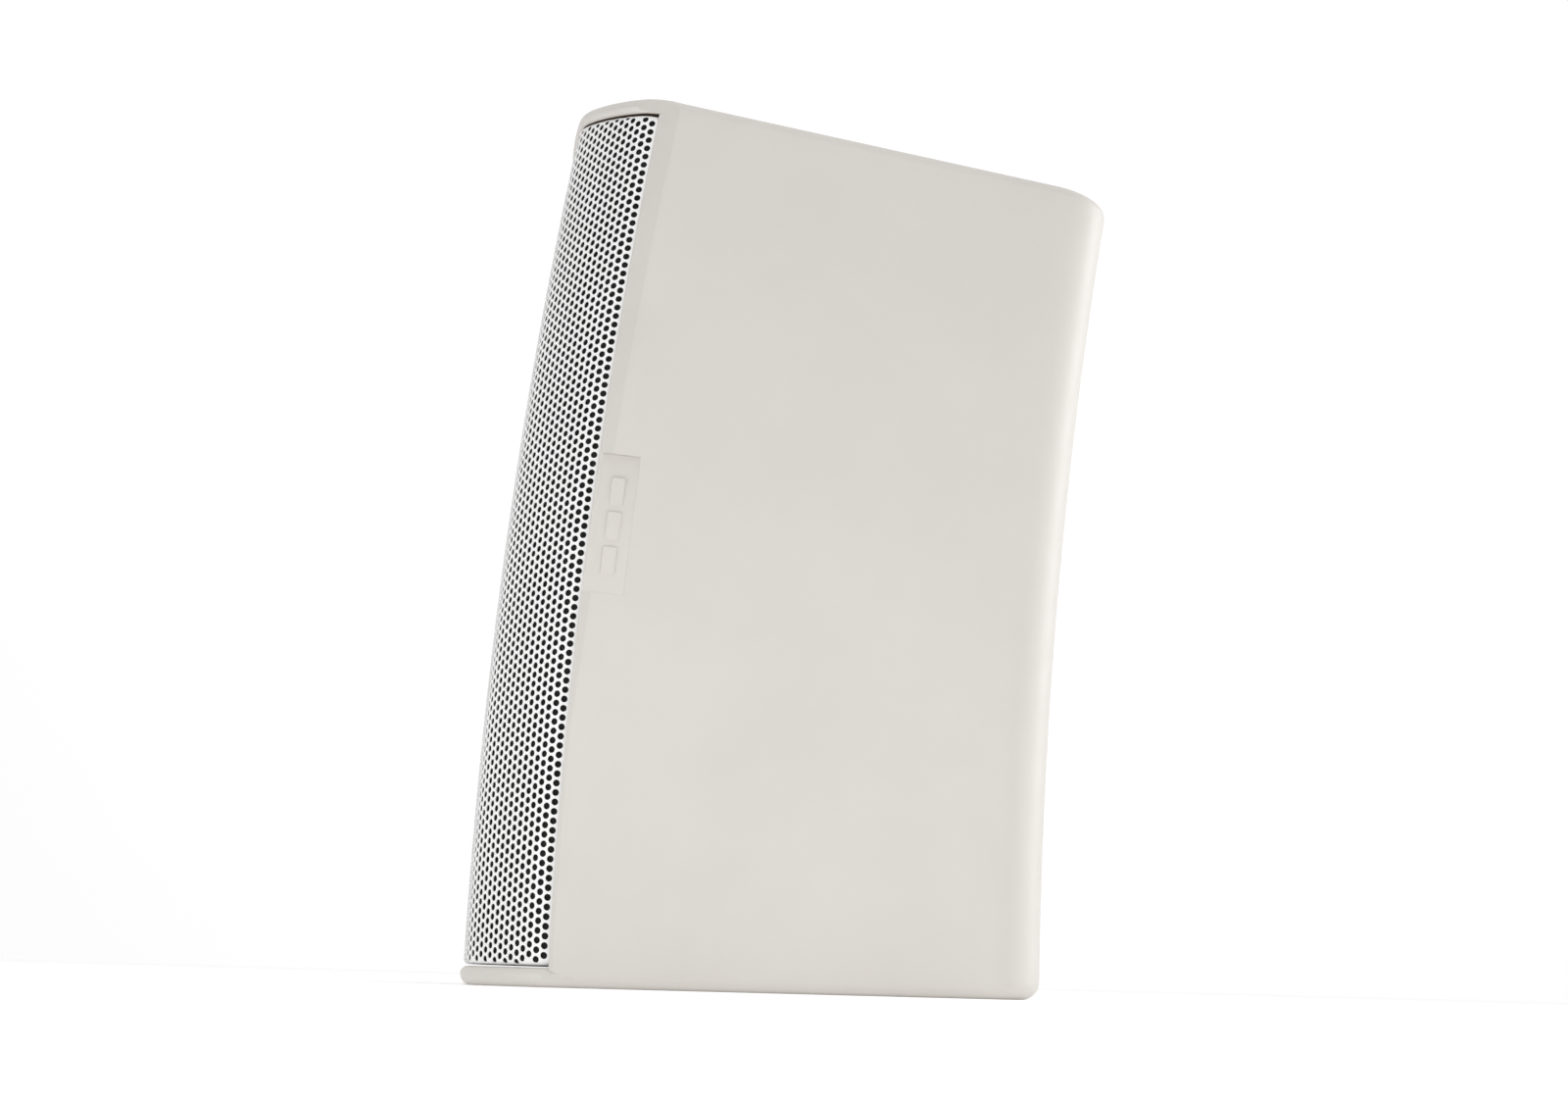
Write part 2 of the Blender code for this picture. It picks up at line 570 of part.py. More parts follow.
def make_tweeter():
    frame = front_frame(0, SEAT_N, TWEETER_V)
    guide = turned('tweeter_waveguide', [
        (56.0, 0.3), (56.0, 3.2), (55.0, 4.2), (48.0, 4.2), (44.0, 3.2), (36.0, -0.5), (27.0, -6.2),
        (19.0, -11.0), (14.6, -13.2), (13.6, -14.0), (13.6, -16.2), (40.0, -16.2), (40.0, -13.4),
        (24.0, -12.4), (29.0, -9.0), (38.0, -3.4), (46.4, 0.3)], frame, BLACK_PLASTIC, MID_ROUND)
    for index, place in enumerate(waveguide_screw_frames(frame), 1):
        cut(guide, rod(f'guide_hole_{index}', 0.0018, -0.01, 0.01, place, None))
        make_screw(f'waveguide_screw_{index}', shift(place, z=0.0045), 0.0032, 0.0015, 0.0135, 0.0018)
    dome = [(0, -9.2), (4.0, -9.8), (7.6, -11.4), (10.2, -13.9), (11.4, -13.1), (12.4, -13.9), (12.9, -14.6)]
    turned('tweeter_dome', dome + [(r, a - 0.4) for r, a in reversed(dome)], frame, SILK, MID_ROUND)
    ring('tweeter_voice_coil', (12.2, 12.6), (-20.0, -15.4), frame, COPPER, MID_ROUND)
    ring('tweeter_front_plate', (13.2, 31.0), (-19.5, -16.5), frame, STEEL, MID_ROUND)
    ring('tweeter_magnet', (15.0, 34.0), (-31.0, -19.8), frame, FERRITE, MID_ROUND)
    turned('tweeter_pole_yoke', [
        (2.5, -36.0), (32.0, -36.0), (32.0, -31.3), (11.6, -31.3), (11.6, -16.5), (2.5, -16.5)],
        frame, STEEL, MID_ROUND)
    turned('tweeter_rear_cup', [
        (36.5, -16.5), (39.0, -16.5), (39.0, -56.0), (36.5, -59.0), (0, -59.0), (0, -56.5), (35.0, -56.5),
        (36.5, -55.0)], frame, BLACK_PLASTIC, MID_ROUND)


# ---- ports --------------------------------------------------------------------------------
def make_ports():
    for side, x in (('left', -PORT_X), ('right', PORT_X)):
        turned(f'port_tube_{side}', [
            (21.6, 0.3), (21.6, 2.2), (20.8, 3.0), (19.4, 2.6), (17.2, -0.5), (16.2, -6.0), (16.2, -104.0),
            (18.5, -104.0), (18.5, 0.3)], front_frame(x, SEAT_N, PORT_V), BLACK_PLASTIC, MID_ROUND)


# ---- crossover and transformer --------------------------------------------------------------
def floor_frame(x, n):
    """Local Z up from the cabinet's inside floor, local Y towards the rear."""
    origin = bent(x, n, 0.0)
    origin.z = LID_WALL + GAP
    return Matrix.Translation(origin)


def make_crossover():
    board = floor_frame(-0.055, -0.135)
    block('crossover_board', (-0.045, -0.055, 0.0), (0.045, 0.055, 0.0016), board, BOARD_GREEN)
    top = 0.0016 + GAP
    ring('crossover_inductor', (8, 22), (0, 20), shift(board, -0.016, -0.025, top), COPPER, MID_ROUND)
    lying = shift(board, 0.028, -0.003, top + 0.0102) @ Matrix.Rotation(math.radians(90), 4, 'X')
    rod('film_capacitor', 0.010, -0.022, 0.022, lying, YELLOW_FILM)
    block('power_resistor', (-0.040, 0.030, top), (0.010, 0.040, top + 0.010), board, WHITE_CERAMIC)


def make_transformer():
    base = floor_frame(0.058, -0.150)
    core = block('transformer_core', (-0.033, -0.014, 0.0), (0.033, 0.014, 0.056), base, STEEL)
    winding = block('transformer_winding', (-0.0215, -0.025, 0.0115), (0.0215, 0.025, 0.0445), base, COPPER)
    for side, low, high in (('left', -0.022, -0.011), ('right', 0.011, 0.022)):
        cut(core, block(f'core_window_{side}', (low, -0.03, 0.011), (high, 0.03, 0.045), base, None))
    cut(winding, block('winding_hole', (-0.0114, -0.0144, -0.01), (0.0114, 0.0144, 0.07), base, None))


def make_lining():
    outline = [(0.092, -0.176), (0.092, -0.206), (-0.092, -0.206), (-0.092, -0.176)]
    sweep('acoustic_lining', outline, 0.176, 0.232, WADDING, steps=2)


# ---- rear input ---------------------------------------------------------------------------
def make_input():
    frame = rear_frame(0.0, -REAR_DEPTH, INPUT_V)
    cup = block('input_cup', (-0.067, -0.047, -0.003), (0.067, 0.047, -0.0006), frame, BLACK_PLASTIC)
    fuse(cup, block('cup_tray', (-0.059, -0.039, -0.032), (0.059, 0.039, -0.002), frame, None))
    cut(cup, block('cup_hollow', (-0.0565, -0.0365, -0.0295), (0.0565, 0.0365, 0.01), frame, None))
    for index, (x, y) in enumerate(plate_screw_places(), 1):
        place = shift(frame, x, y)
        cut(cup, rod(f'cup_hole_{index}', 0.0018, -0.01, 0.01, place, None))
        make_screw(f'plate_screw_{index}', shift(place, z=-0.0003), 0.0030, 0.0015, 0.0100, 0.0016)
    floor = shift(frame, z=-0.0295)
    for colour, x, look in (('red', -0.0385, RED_PLASTIC), ('black', -0.0195, BLACK_PLASTIC)):
        place = shift(floor, x, 0.004)
        cut(cup, rod(f'post_hole_{colour}', 0.0028, -0.01, 0.01, place, None))
        turned(f'terminal_post_{colour}', [
            (0, -9.0), (2.5, -9.0), (2.5, 0.3), (5.2, 0.3), (5.2, 2.3), (2.0, 2.3), (2.0, 19.5), (0, 19.5)],
            place, BRASS, SMALL_ROUND)
        turned(f'terminal_knob_{colour}', [
            (2.3, 6.0), (6.0, 6.0), (7.0, 7.0), (7.0, 16.6), (6.0, 17.6), (2.3, 17.6)], place, look, SMALL_ROUND)
    make_selector(cup, shift(floor, 0.028, 0.0))


def make_selector(cup, place):
    """A rotary tap switch with its shaft, and the knob on it."""
    cut(cup, rod('shaft_hole', 0.0050, -0.01, 0.01, place, None))
    body = block('tap_switch', (-0.013, -0.013, -0.016), (0.013, 0.013, -0.0028), place, BLACK_PLASTIC)
    fuse(body, rod('switch_bush', 0.0046, -0.004, 0.0015, place, None),
         rod('switch_shaft', 0.0030, -0.004, 0.0120, place, None))
    knob = turned('selector_knob', [
        (3.3, 2.0), (11.5, 2.0), (12.0, 3.0), (11.0, 14.0), (10.0, 15.0), (0, 15.0), (0, 12.6), (3.3, 12.6)],
        place, BLACK_PLASTIC, MID_ROUND)
    cut(knob, block('pointer_slot', (-0.0008, 0.004, 0.0142), (0.0008, 0.02, 0.03), place, None))


def make_baffle_screws():
    for index, place in enumerate(baffle_screw_frames(), 1):
        make_screw(f'baffle_screw_{index}', shift(place, z=0.0003), 0.0038, 0.0018, 0.0295)


clear_scene()
make_cabinet_shell()
make_inserts()
make_badge()
make_baffle()
make_baffle_gasket()
make_baffle_screws()
make_grille()
make_woofer()
make_tweeter()
make_ports()
make_crossover()
make_transformer()
make_lining()
make_input()
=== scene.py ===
"""Looks of the bookshelf speaker: shell, perforated grille, drivers, rear input, floor and light.

Metres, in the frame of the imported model. Places on the bent cabinet are given as (x, n, v):
x across, n outwards from the reference arc towards the front, v along that arc.
"""
import math

import bmesh
import bpy
import numpy as np
from mathutils import Matrix, Vector


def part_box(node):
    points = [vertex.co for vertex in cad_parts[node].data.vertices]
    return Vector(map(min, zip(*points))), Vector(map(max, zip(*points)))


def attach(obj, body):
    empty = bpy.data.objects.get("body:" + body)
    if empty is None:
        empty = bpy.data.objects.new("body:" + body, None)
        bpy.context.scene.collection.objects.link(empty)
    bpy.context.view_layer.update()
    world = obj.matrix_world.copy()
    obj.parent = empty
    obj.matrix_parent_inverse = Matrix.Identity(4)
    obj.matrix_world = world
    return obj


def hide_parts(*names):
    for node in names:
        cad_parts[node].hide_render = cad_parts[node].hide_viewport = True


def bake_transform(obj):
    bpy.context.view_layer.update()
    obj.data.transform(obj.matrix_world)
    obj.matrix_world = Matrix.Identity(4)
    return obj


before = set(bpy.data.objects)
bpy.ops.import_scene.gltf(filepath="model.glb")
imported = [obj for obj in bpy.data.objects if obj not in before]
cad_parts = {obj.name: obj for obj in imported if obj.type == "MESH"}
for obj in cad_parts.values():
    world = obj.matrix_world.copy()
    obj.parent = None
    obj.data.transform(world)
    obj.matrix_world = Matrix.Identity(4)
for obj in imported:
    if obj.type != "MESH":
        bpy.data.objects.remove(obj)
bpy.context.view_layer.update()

# ---- the cabinet's dimensions ----
HEIGHT = 0.398
HALF_WIDTH = 0.125
REAR_DEPTH = 0.2145
BEND_RADIUS = 2.610
SIDE_TAPER = math.radians(3.0)
REAR_CORNER_RADIUS = 0.029
TOP_FILLET = 0.0060
BOTTOM_FILLET = 0.0046
REAR_FILLET = 0.0080        # of the bottom edge at the back
WALL = 0.0034
REAR_WALL = 0.004
LID_WALL = 0.005
LIP_HEIGHT = 0.0080
LIP_PROUD = 0.0012
LIP_ROUND = 0.0030
RIM_N = -0.0018

FRONT_N = 0.0417
# Arcs of the front's right half, from its middle: from and to, in degrees, and the radius
FRONT_ARCS = (((0.0, 8.0), 0.579), ((8.0, 32.0), 0.0286), ((32.0, 52.0), 0.103))
ARC_STEPS = (24, 12, 12)
EDGE_TURN = (52.0, 90.0)    # of the last arc, whose radius follows from where it ends
EDGE_STEPS = 12
GRILLE_EDGE_X = 0.1215
GRILLE_BACK_N = -0.0075

FLANGE_FRONT_N = -0.017
FLANGE_BACK_N = -0.022
FLANGE_WIDTH = 0.012

BAFFLE_BACK_N = -0.0155
BAFFLE_STEP_N = -0.0083
BAFFLE_FRONT_N = 0.009
BAFFLE_SKIN = 0.005
SEAT_N = 0.011

WOOFER_V = 0.122
TWEETER_V = 0.302
PORT_X = 0.083
PORT_V = 0.302
INPUT_V = 0.112
CUP_FLOOR = -0.0295
BRACKET_V = 0.285
BRACKET_SPACING = 0.070
BRACKET_DEPTH = -0.0012
LID_INSERT_N = -0.095
BADGE_SIZE = (0.0164, 0.062)
BADGE_N = -0.0118
BADGE_RECESS = 0.0028
BADGE_DIP = 0.0024
BADGE_BARS = (0.0145, -0.0010, -0.0165)    # heights of the bars' middles
BADGE_BACK = -0.0027
BAR_FOOT = (0.0032, 0.0064, 0.0012)        # half width, half height, radius of the corners
BAR_CROWN = (0.0027, 0.0059, 0.0007)
BAR_RISE = 0.0008
BAFFLE_SCREW_X = 0.094
BAFFLE_SCREW_V = LIP_HEIGHT + 0.0155
PLATE_SCREW_X = 0.0631
PLATE_SCREW_Y = 0.0431
PLATE_POCKET = (0.0673, 0.0473)            # half width and half height, as the next three
PLATE_WINDOW = (0.0593, 0.0393, 0.0045)    # and the radius of its corners
BRACKET_SEAT = (0.032, 0.058)
INPUT_PAD = (0.075, 0.055)
SCREW_HOLE = 0.0018                        # radius, for the screws of the input plate and waveguide
BAFFLE_HOLE = 0.0021
WOOFER_HOLE = 0.0023

HOLE_PITCH = 0.0040
HOLE_RADIUS = 0.00148
HOLE_COLUMNS = 80
HOLE_ROWS = 98             # half pitches from the middle of the sheet to its last row
GRILLE_SHEET = 0.0004
GRILLE_ROLL = 0.0022
GRILLE_CLEARANCE = 0.0009  # between the grille's ends and the lips
LINER_DEPTH = 0.0014
LINER_SHEET = 0.0010

# Middle of the bend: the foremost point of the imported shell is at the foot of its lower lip
BEND_CENTRE_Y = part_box("cabinet_shell")[0].y + BEND_RADIUS + FRONT_N + LIP_PROUD


# ---- placing ----
def bent(x, n, v):
    angle = v / BEND_RADIUS
    reach = BEND_RADIUS + n
    return Vector((x, BEND_CENTRE_Y - reach * math.cos(angle), reach * math.sin(angle)))


def bent_array(x, n, v):
    angle = v / BEND_RADIUS
    reach = BEND_RADIUS + n
    parts = np.broadcast_arrays(x, BEND_CENTRE_Y - reach * np.cos(angle), reach * np.sin(angle))
    return np.stack(parts, axis=-1)


def side_x(n):
    return HALF_WIDTH + n * math.tan(SIDE_TAPER)


def frame_of(x_axis, y_axis, z_axis, origin):
    place = Matrix((x_axis, y_axis, z_axis)).transposed().to_4x4()
    place.translation = origin
    return place


def arc_axes(v):
    """The directions out of the front and up the arc, at a height on the arc."""
    across, along = math.sin(v / BEND_RADIUS), math.cos(v / BEND_RADIUS)
    return Vector((0, -along, across)), Vector((0, across, along))


def front_frame(x, n, v):
    """Local Z points out of the front, local X is +X, local Y runs up the arc."""
    out, up = arc_axes(v)
    return frame_of(Vector((1, 0, 0)), up, out, bent(x, n, v))


def rear_frame(x, n, v):
    """Local Z points out of the rear, local X is -X, local Y runs up the arc."""
    out, up = arc_axes(v)
    return frame_of(Vector((-1, 0, 0)), up, -out, bent(x, n, v))


def lid_frame(n, v, sense):
    """Local Z points out of the top (sense 1) or the bottom (sense -1)."""
    up = arc_axes(v)[1] * sense
    side = Vector((1, 0, 0))
    return frame_of(side, up.cross(side), up, bent(0, n, v))


def badge_frame():
    """Local Z points out of the right side, local X towards the rear, local Y up."""
    forward, up = arc_axes(HEIGHT / 2)
    out = (Vector((1, 0, 0)) * math.cos(SIDE_TAPER) - forward * math.sin(SIDE_TAPER)).normalized()
    return frame_of(up.cross(out), up, out, bent(side_x(BADGE_N), BADGE_N, HEIGHT / 2))


def shift(place, x=0.0, y=0.0, z=0.0):
    return place @ Matrix.Translation((x, y, z))


def spin(degrees):
    return Matrix.Rotation(math.radians(degrees), 4, 'Z')


def screw_circle(place, radius):
    return [shift(place @ spin(turn), radius) for turn in (45, 135, 225, 315)]


WOOFER = front_frame(0, SEAT_N, WOOFER_V)
TWEETER = front_frame(0, SEAT_N, TWEETER_V)
REAR_INPUT = rear_frame(0, -REAR_DEPTH, INPUT_V)
REAR_BRACKET = rear_frame(0, -REAR_DEPTH, BRACKET_V)
BRACKET_FLOOR = shift(REAR_BRACKET, z=BRACKET_DEPTH)
TERMINALS = {"red": shift(REAR_INPUT, -0.0385, 0.004, CUP_FLOOR),
             "black": shift(REAR_INPUT, -0.0195, 0.004, CUP_FLOOR)}
SELECTOR = shift(REAR_INPUT, 0.028, 0.0, CUP_FLOOR)
PORTS = {"left": front_frame(-PORT_X, SEAT_N, PORT_V), "right": front_frame(PORT_X, SEAT_N, PORT_V)}
INSERTS = {"insert_top": lid_frame(LID_INSERT_N, HEIGHT, 1),
           "insert_bottom": lid_frame(LID_INSERT_N, 0.0, -1),
           "insert_rear_upper": shift(BRACKET_FLOOR, y=BRACKET_SPACING / 2),
           "insert_rear_lower": shift(BRACKET_FLOOR, y=-BRACKET_SPACING / 2)}
WOOFER_SCREWS = screw_circle(WOOFER, 0.0995)
WAVEGUIDE_SCREWS = screw_circle(TWEETER, 0.0522)
BAFFLE_SCREWS = [front_frame(x, BAFFLE_FRONT_N, v) for v in (BAFFLE_SCREW_V, HEIGHT - BAFFLE_SCREW_V)
                 for x in (-BAFFLE_SCREW_X, BAFFLE_SCREW_X)]
PLATE_SCREWS = [shift(REAR_INPUT, x, y) for y in (-PLATE_SCREW_Y, PLATE_SCREW_Y)
                for x in (-PLATE_SCREW_X, PLATE_SCREW_X)]


# ---- outlines ----
def even(start, end, steps):
    return [start + (end - start) * i / steps for i in range(steps + 1)]


def on_arc(x, n, radius, start, turn):
    """The point at a turn along an arc that leaves (x, n) at the start's turn."""
    return (x + radius * (math.sin(turn) - math.sin(start)),
            n - radius * (math.cos(start) - math.cos(turn)))


def front_half(offset, edge_x):
    """Right half of the front section, middle to edge, moved outwards by the offset."""
    points = []
    x, n = 0.0, FRONT_N
    for (turns, radius), steps in zip(FRONT_ARCS, ARC_STEPS):
        start, end = (math.radians(turn) for turn in turns)
        for turn in even(start, end, steps)[:-1]:
            px, pn = on_arc(x, n, radius, start, turn)
            points.append((px + offset * math.sin(turn), pn + offset * math.cos(turn)))
        x, n = on_arc(x, n, radius, start, end)
    start, end = (math.radians(turn) for turn in EDGE_TURN)
    x, n = x + offset * math.sin(start), n + offset * math.cos(start)
    radius = (edge_x - x) / (math.sin(end) - math.sin(start))
    return points + [on_arc(x, n, radius, start, turn) for turn in even(start, end, EDGE_STEPS)]


def rear_half(inset, rear_n, corner, steps=16):
    centre_n = rear_n + corner
    centre_x = side_x(centre_n) - inset - corner
    points = [(centre_x + corner * math.cos(turn), centre_n - corner * math.sin(turn))
              for turn in even(0, math.pi / 2, steps)]
    return points + [(0.0, rear_n)]


def mirrored(half):
    return half + [(-x, n) for x, n in reversed(half) if x > 1e-6]


def shrink(outline, inset):
    """The outline moved inwards along the mean normals by the inset, a number or one per corner."""
    count = len(outline)
    insets = np.broadcast_to(inset, count).tolist()
    area = sum(outline[i][0] * outline[(i + 1) % count][1] - outline[(i + 1) % count][0] * outline[i][1]
               for i in range(count))
    turn = 1.0 if area > 0 else -1.0
    moved = []
    for i, here in enumerate(outline):
        before = Vector(here) - Vector(outline[i - 1])
        after = Vector(outline[(i + 1) % count]) - Vector(here)
        normal_a = Vector((-before.y, before.x)).normalized() * turn
        normal_b = Vector((-after.y, after.x)).normalized() * turn
        mean = (normal_a + normal_b).normalized()
        moved.append(tuple(Vector(here) + mean * insets[i] / max(mean.dot(normal_a), 0.3)))
    return moved


# ---- meshes ----
def link(name, mesh, place=None):
    thing = bpy.data.objects.new(name, mesh)
    bpy.context.scene.collection.objects.link(thing)
    if place is not None:
        thing.matrix_world = place
    return thing


def soften(mesh, degrees=32):
    mesh.shade_smooth()
    mesh.set_sharp_from_angle(angle=math.radians(degrees))


def solid(name, points, faces, place=None, smooth=True):
    mesh = bpy.data.meshes.new(name)
    shape = bmesh.new()
    corners = [shape.verts.new(point) for point in points]
    for face in faces:
        shape.faces.new([corners[index] for index in face])
    bmesh.ops.recalc_face_normals(shape, faces=shape.faces)
    shape.to_mesh(mesh)
    shape.free()
    if smooth:
        soften(mesh)
    return link(name, mesh, place)


def skin(name, rings, place=None):
    """A closed solid through rings of as many points each."""
    count = len(rings[0])
    points = [point for ring in rings for point in ring]
    faces = [list(range(count)), [len(points) - count + i for i in range(count)]]
    for level in range(len(rings) - 1):
        low = level * count
        for i in range(count):
            j = (i + 1) % count
            faces.append([low + i, low + j, low + count + j, low + count + i])
    return solid(name, points, faces, place)


def stack(name, levels):
    """A closed solid through plan outlines: [(height up the arc, outline), ...]."""
    return skin(name, [[bent(x, n, v) for x, n in outline] for v, outline in levels])


def loft(name, levels, place):
    """A closed solid through outlines in the place's own axes: [(height, outline), ...]."""
    return skin(name, [[Vector((x, y, z)) for x, y in outline] for z, outline in levels], place)


def rounded(points, radius, steps=4, turned_profile=False):
    """The outline with its corners rounded by up to the radius; a profile's points on the axis stay."""
    result = []
    count = len(points)
    for i, corner in enumerate(points):
        if turned_profile and corner[0] == 0:
            result.append(corner)
            continue
        here, before, after = Vector(corner), Vector(points[i - 1]), Vector(points[(i + 1) % count])
        reach = [min(radius, (other - here).length * 0.49) for other in (before, after)]
        start = here + (before - here).normalized() * reach[0]
        end = here + (after - here).normalized() * reach[1]
        for k in range(steps + 1):
            s = k / steps
            result.append(tuple(start * (1 - s) ** 2 + here * 2 * s * (1 - s) + end * s ** 2))
    return result


def rounded_box(half_w, half_h, radius):
    corners = [(half_w, -half_h), (half_w, half_h), (-half_w, half_h), (-half_w, -half_h)]
    return rounded(corners, radius, 8)


def box_loft(name, levels, place):
    """A closed solid through rounded boxes: [(height, half width, half height, corner radius), ...]."""
    return loft(name, [(z, rounded_box(*sizes)) for z, *sizes in levels], place)


def turned(name, profile_mm, place, segments=96, round_mm=0.25, flutes=0, flute_mm=0.0):
    """A turned solid about local Z, from a profile of (radius, height) in millimetres.

    A profile that starts and ends on the axis is a solid, any other one a ring. Flutes are cut
    from the widest tenth of the radius.
    """
    closed = profile_mm[0][0] > 0 or profile_mm[-1][0] > 0
    profile = rounded(profile_mm, round_mm, 4, True) if round_mm else profile_mm
    widest = max(r for r, a in profile)
    points, rings = [], []
    for r, a in profile:
        if r == 0:
            rings.append([len(points)])
            points.append(Vector((0, 0, a / 1000)))
            continue
        rings.append(list(range(len(points), len(points) + segments)))
        depth = flute_mm if r > 0.9 * widest else 0.0
        for i in range(segments):
            turn = 2 * math.pi * i / segments
            reach = (r - depth * (0.5 + 0.5 * math.cos(flutes * turn))) / 1000
            points.append(Vector((reach * math.cos(turn), reach * math.sin(turn), a / 1000)))
    pairs = list(zip(rings, rings[1:]))
    if closed:
        pairs.append((rings[-1], rings[0]))
    faces = []
    for low, high in pairs:
        for i in range(segments):
            j = (i + 1) % segments
            if len(low) == 1 and len(high) == 1:
                break
            if len(low) == 1:
                faces.append([low[0], high[i], high[j]])
            elif len(high) == 1:
                faces.append([low[i], low[j], high[0]])
            else:
                faces.append([low[i], low[j], high[j], high[i]])
    return solid(name, points, faces, place)


def rod(name, radius, low, high, place, segments=48):
    radius, low, high = radius * 1000, low * 1000, high * 1000
    return turned(name, [(0, low), (radius, low), (radius, high), (0, high)], place, segments, 0)


def rods(name, radius, low, high, places, segments=48):
    return [rod(name, radius, low, high, place, segments) for place in places]


def ring_profile(inner, outer, low, high):
    return [(inner, low), (outer, low), (outer, high), (inner, high)]


def sweep(name, outline, v_start, v_end, steps=48):
    return stack(name, [(v, outline) for v in even(v_start, v_end, steps)])


def block(name, low, high, place):
    across, along, up = zip(low, high)
    points = [Vector((x, y, z)) for z in up for y in along for x in across]
    faces = [[0, 1, 3, 2], [4, 5, 7, 6], [0, 1, 5, 4], [2, 3, 7, 6], [0, 2, 6, 4], [1, 3, 7, 5]]
    return solid(name, points, faces, place, smooth=False)


def border_of(last_i, last_j, at):
    """The numbers that at(i, j) gives along a grid's border, in order round it."""
    border = [at(i, 0) for i in range(last_i)] + [at(last_i, j) for j in range(last_j)]
    border += [at(i, last_j) for i in range(last_i, 0, -1)]
    return border + [at(0, j) for j in range(last_j, 0, -1)]


def boolean(target, operation, cutters):
    """Applies the operation with each cutter, which is then removed."""
    for cutter in cutters:
        step = target.modifiers.new(cutter.name, 'BOOLEAN')
        step.operation = operation
        step.solver = 'EXACT'
        step.object = cutter
    bpy.context.view_layer.update()
    graph = bpy.context.evaluated_depsgraph_get()
    mesh = bpy.data.meshes.new_from_object(target.evaluated_get(graph))
    if not mesh.polygons:
        raise ValueError(f"{target.name}: nothing is left")
    target.modifiers.clear()
    target.data = mesh
    for cutter in cutters:
        bpy.data.objects.remove(cutter, do_unlink=True)
    soften(mesh)


# ---- the shell ----
FACET_ANGLE = math.radians(15.0)
FACET_WIDTH = 0.0088      # of the strip beside the grille, at the top
FACET_START_V = 0.020
FACET_NORMAL_X = (0.94, 0.985)
OUTSIDE_X = 0.150         # clear of the cabinet, for the far sides of cutters
OUTSIDE_N = 0.070


def edge_levels(outline, radius, turns=10):
    """Distances from a rounded edge and the outline there; the radius is a number or one per corner."""
    radius = np.broadcast_to(radius, len(outline))
    levels = []
    for turn in even(0, math.pi / 2, turns):
        rise = radius.max() * (1 - math.cos(turn))
        left = np.maximum(radius - rise, 0.0)
        levels.append((rise, shrink(outline, radius - np.sqrt(radius ** 2 - left ** 2))))
    return levels


def rounded_levels(outline, v_start, v_end, radii, steps):
    """Levels of a sweep whose lower and upper edges are rounded by the two radii."""
    bottom = [(v_start + rise, points) for rise, points in edge_levels(outline, radii[0])]
    top = [(v_end - rise, points) for rise, points in reversed(edge_levels(outline, radii[1]))]
    middle = [(v, outline) for v in even(bottom[-1][0], top[0][0], steps)[1:-1]]
    return bottom + middle + top


def facet_outline(side, v):
    """The wedge cut off the side beside the grille, wider towards the top."""
    width = FACET_WIDTH * (v - FACET_START_V) / (HEIGHT - FACET_START_V)
    slope = math.tan(FACET_ANGLE)
    n_at_side = RIM_N - width
    back, ahead = 0.004, 0.020
    x_at_side = side_x(n_at_side)
    points = [(x_at_side + back * slope, n_at_side - back),
              (x_at_side - (width + ahead) * slope, RIM_N + ahead),
              (OUTSIDE_X, RIM_N + ahead), (OUTSIDE_X, n_at_side - back)]
    return [(side * x, n) for x, n in points]


def facet_cutter(side):
    return stack("facet", [(v, facet_outline(side, v)) for v in even(-0.002, HEIGHT + 0.002, 40)])


def lip_cutter(name, v_edge, sense):
    """Cuts the quarter-round along a lip's edge beside the grille; sense points to the grille."""
    levels = [(v_edge - sense * (LIP_ROUND + 0.0004), -0.0004)]
    for turn in even(0, math.pi / 2, 8)[1:]:
        v = v_edge - sense * LIP_ROUND * (1 - math.sin(turn))
        levels.append((v, LIP_ROUND * (1 - math.cos(turn))))
    levels.append((v_edge + sense * 0.001, LIP_ROUND))
    front = front_half(LIP_PROUD, HALF_WIDTH)
    outline = mirrored(front + [(side_x(-0.05), -0.05), (0.0, -0.05)])
    placed = []
    outside = [(OUTSIDE_X, RIM_N), (OUTSIDE_X, OUTSIDE_N), (-OUTSIDE_X, OUTSIDE_N), (-OUTSIDE_X, RIM_N)]
    for v, inset in levels:
        half = shrink(outline, inset)[:len(front) - 1] + [(side_x(RIM_N) - inset, RIM_N)]
        left = [(-x, n) for x, n in reversed(half)]
        placed.append((v, left[:-1] + half + outside))
    return stack(name, placed)


def flared_cutter(name, half_size, radius, depth, flare, place):
    """A pocket with rounded corners and a small slope round its mouth."""
    inner = (*half_size, radius)
    tall = 0.010
    outer = [size + flare + tall for size in inner]
    return box_loft(name, [(depth, *inner), (-flare, *inner), (tall, *outer)], place)


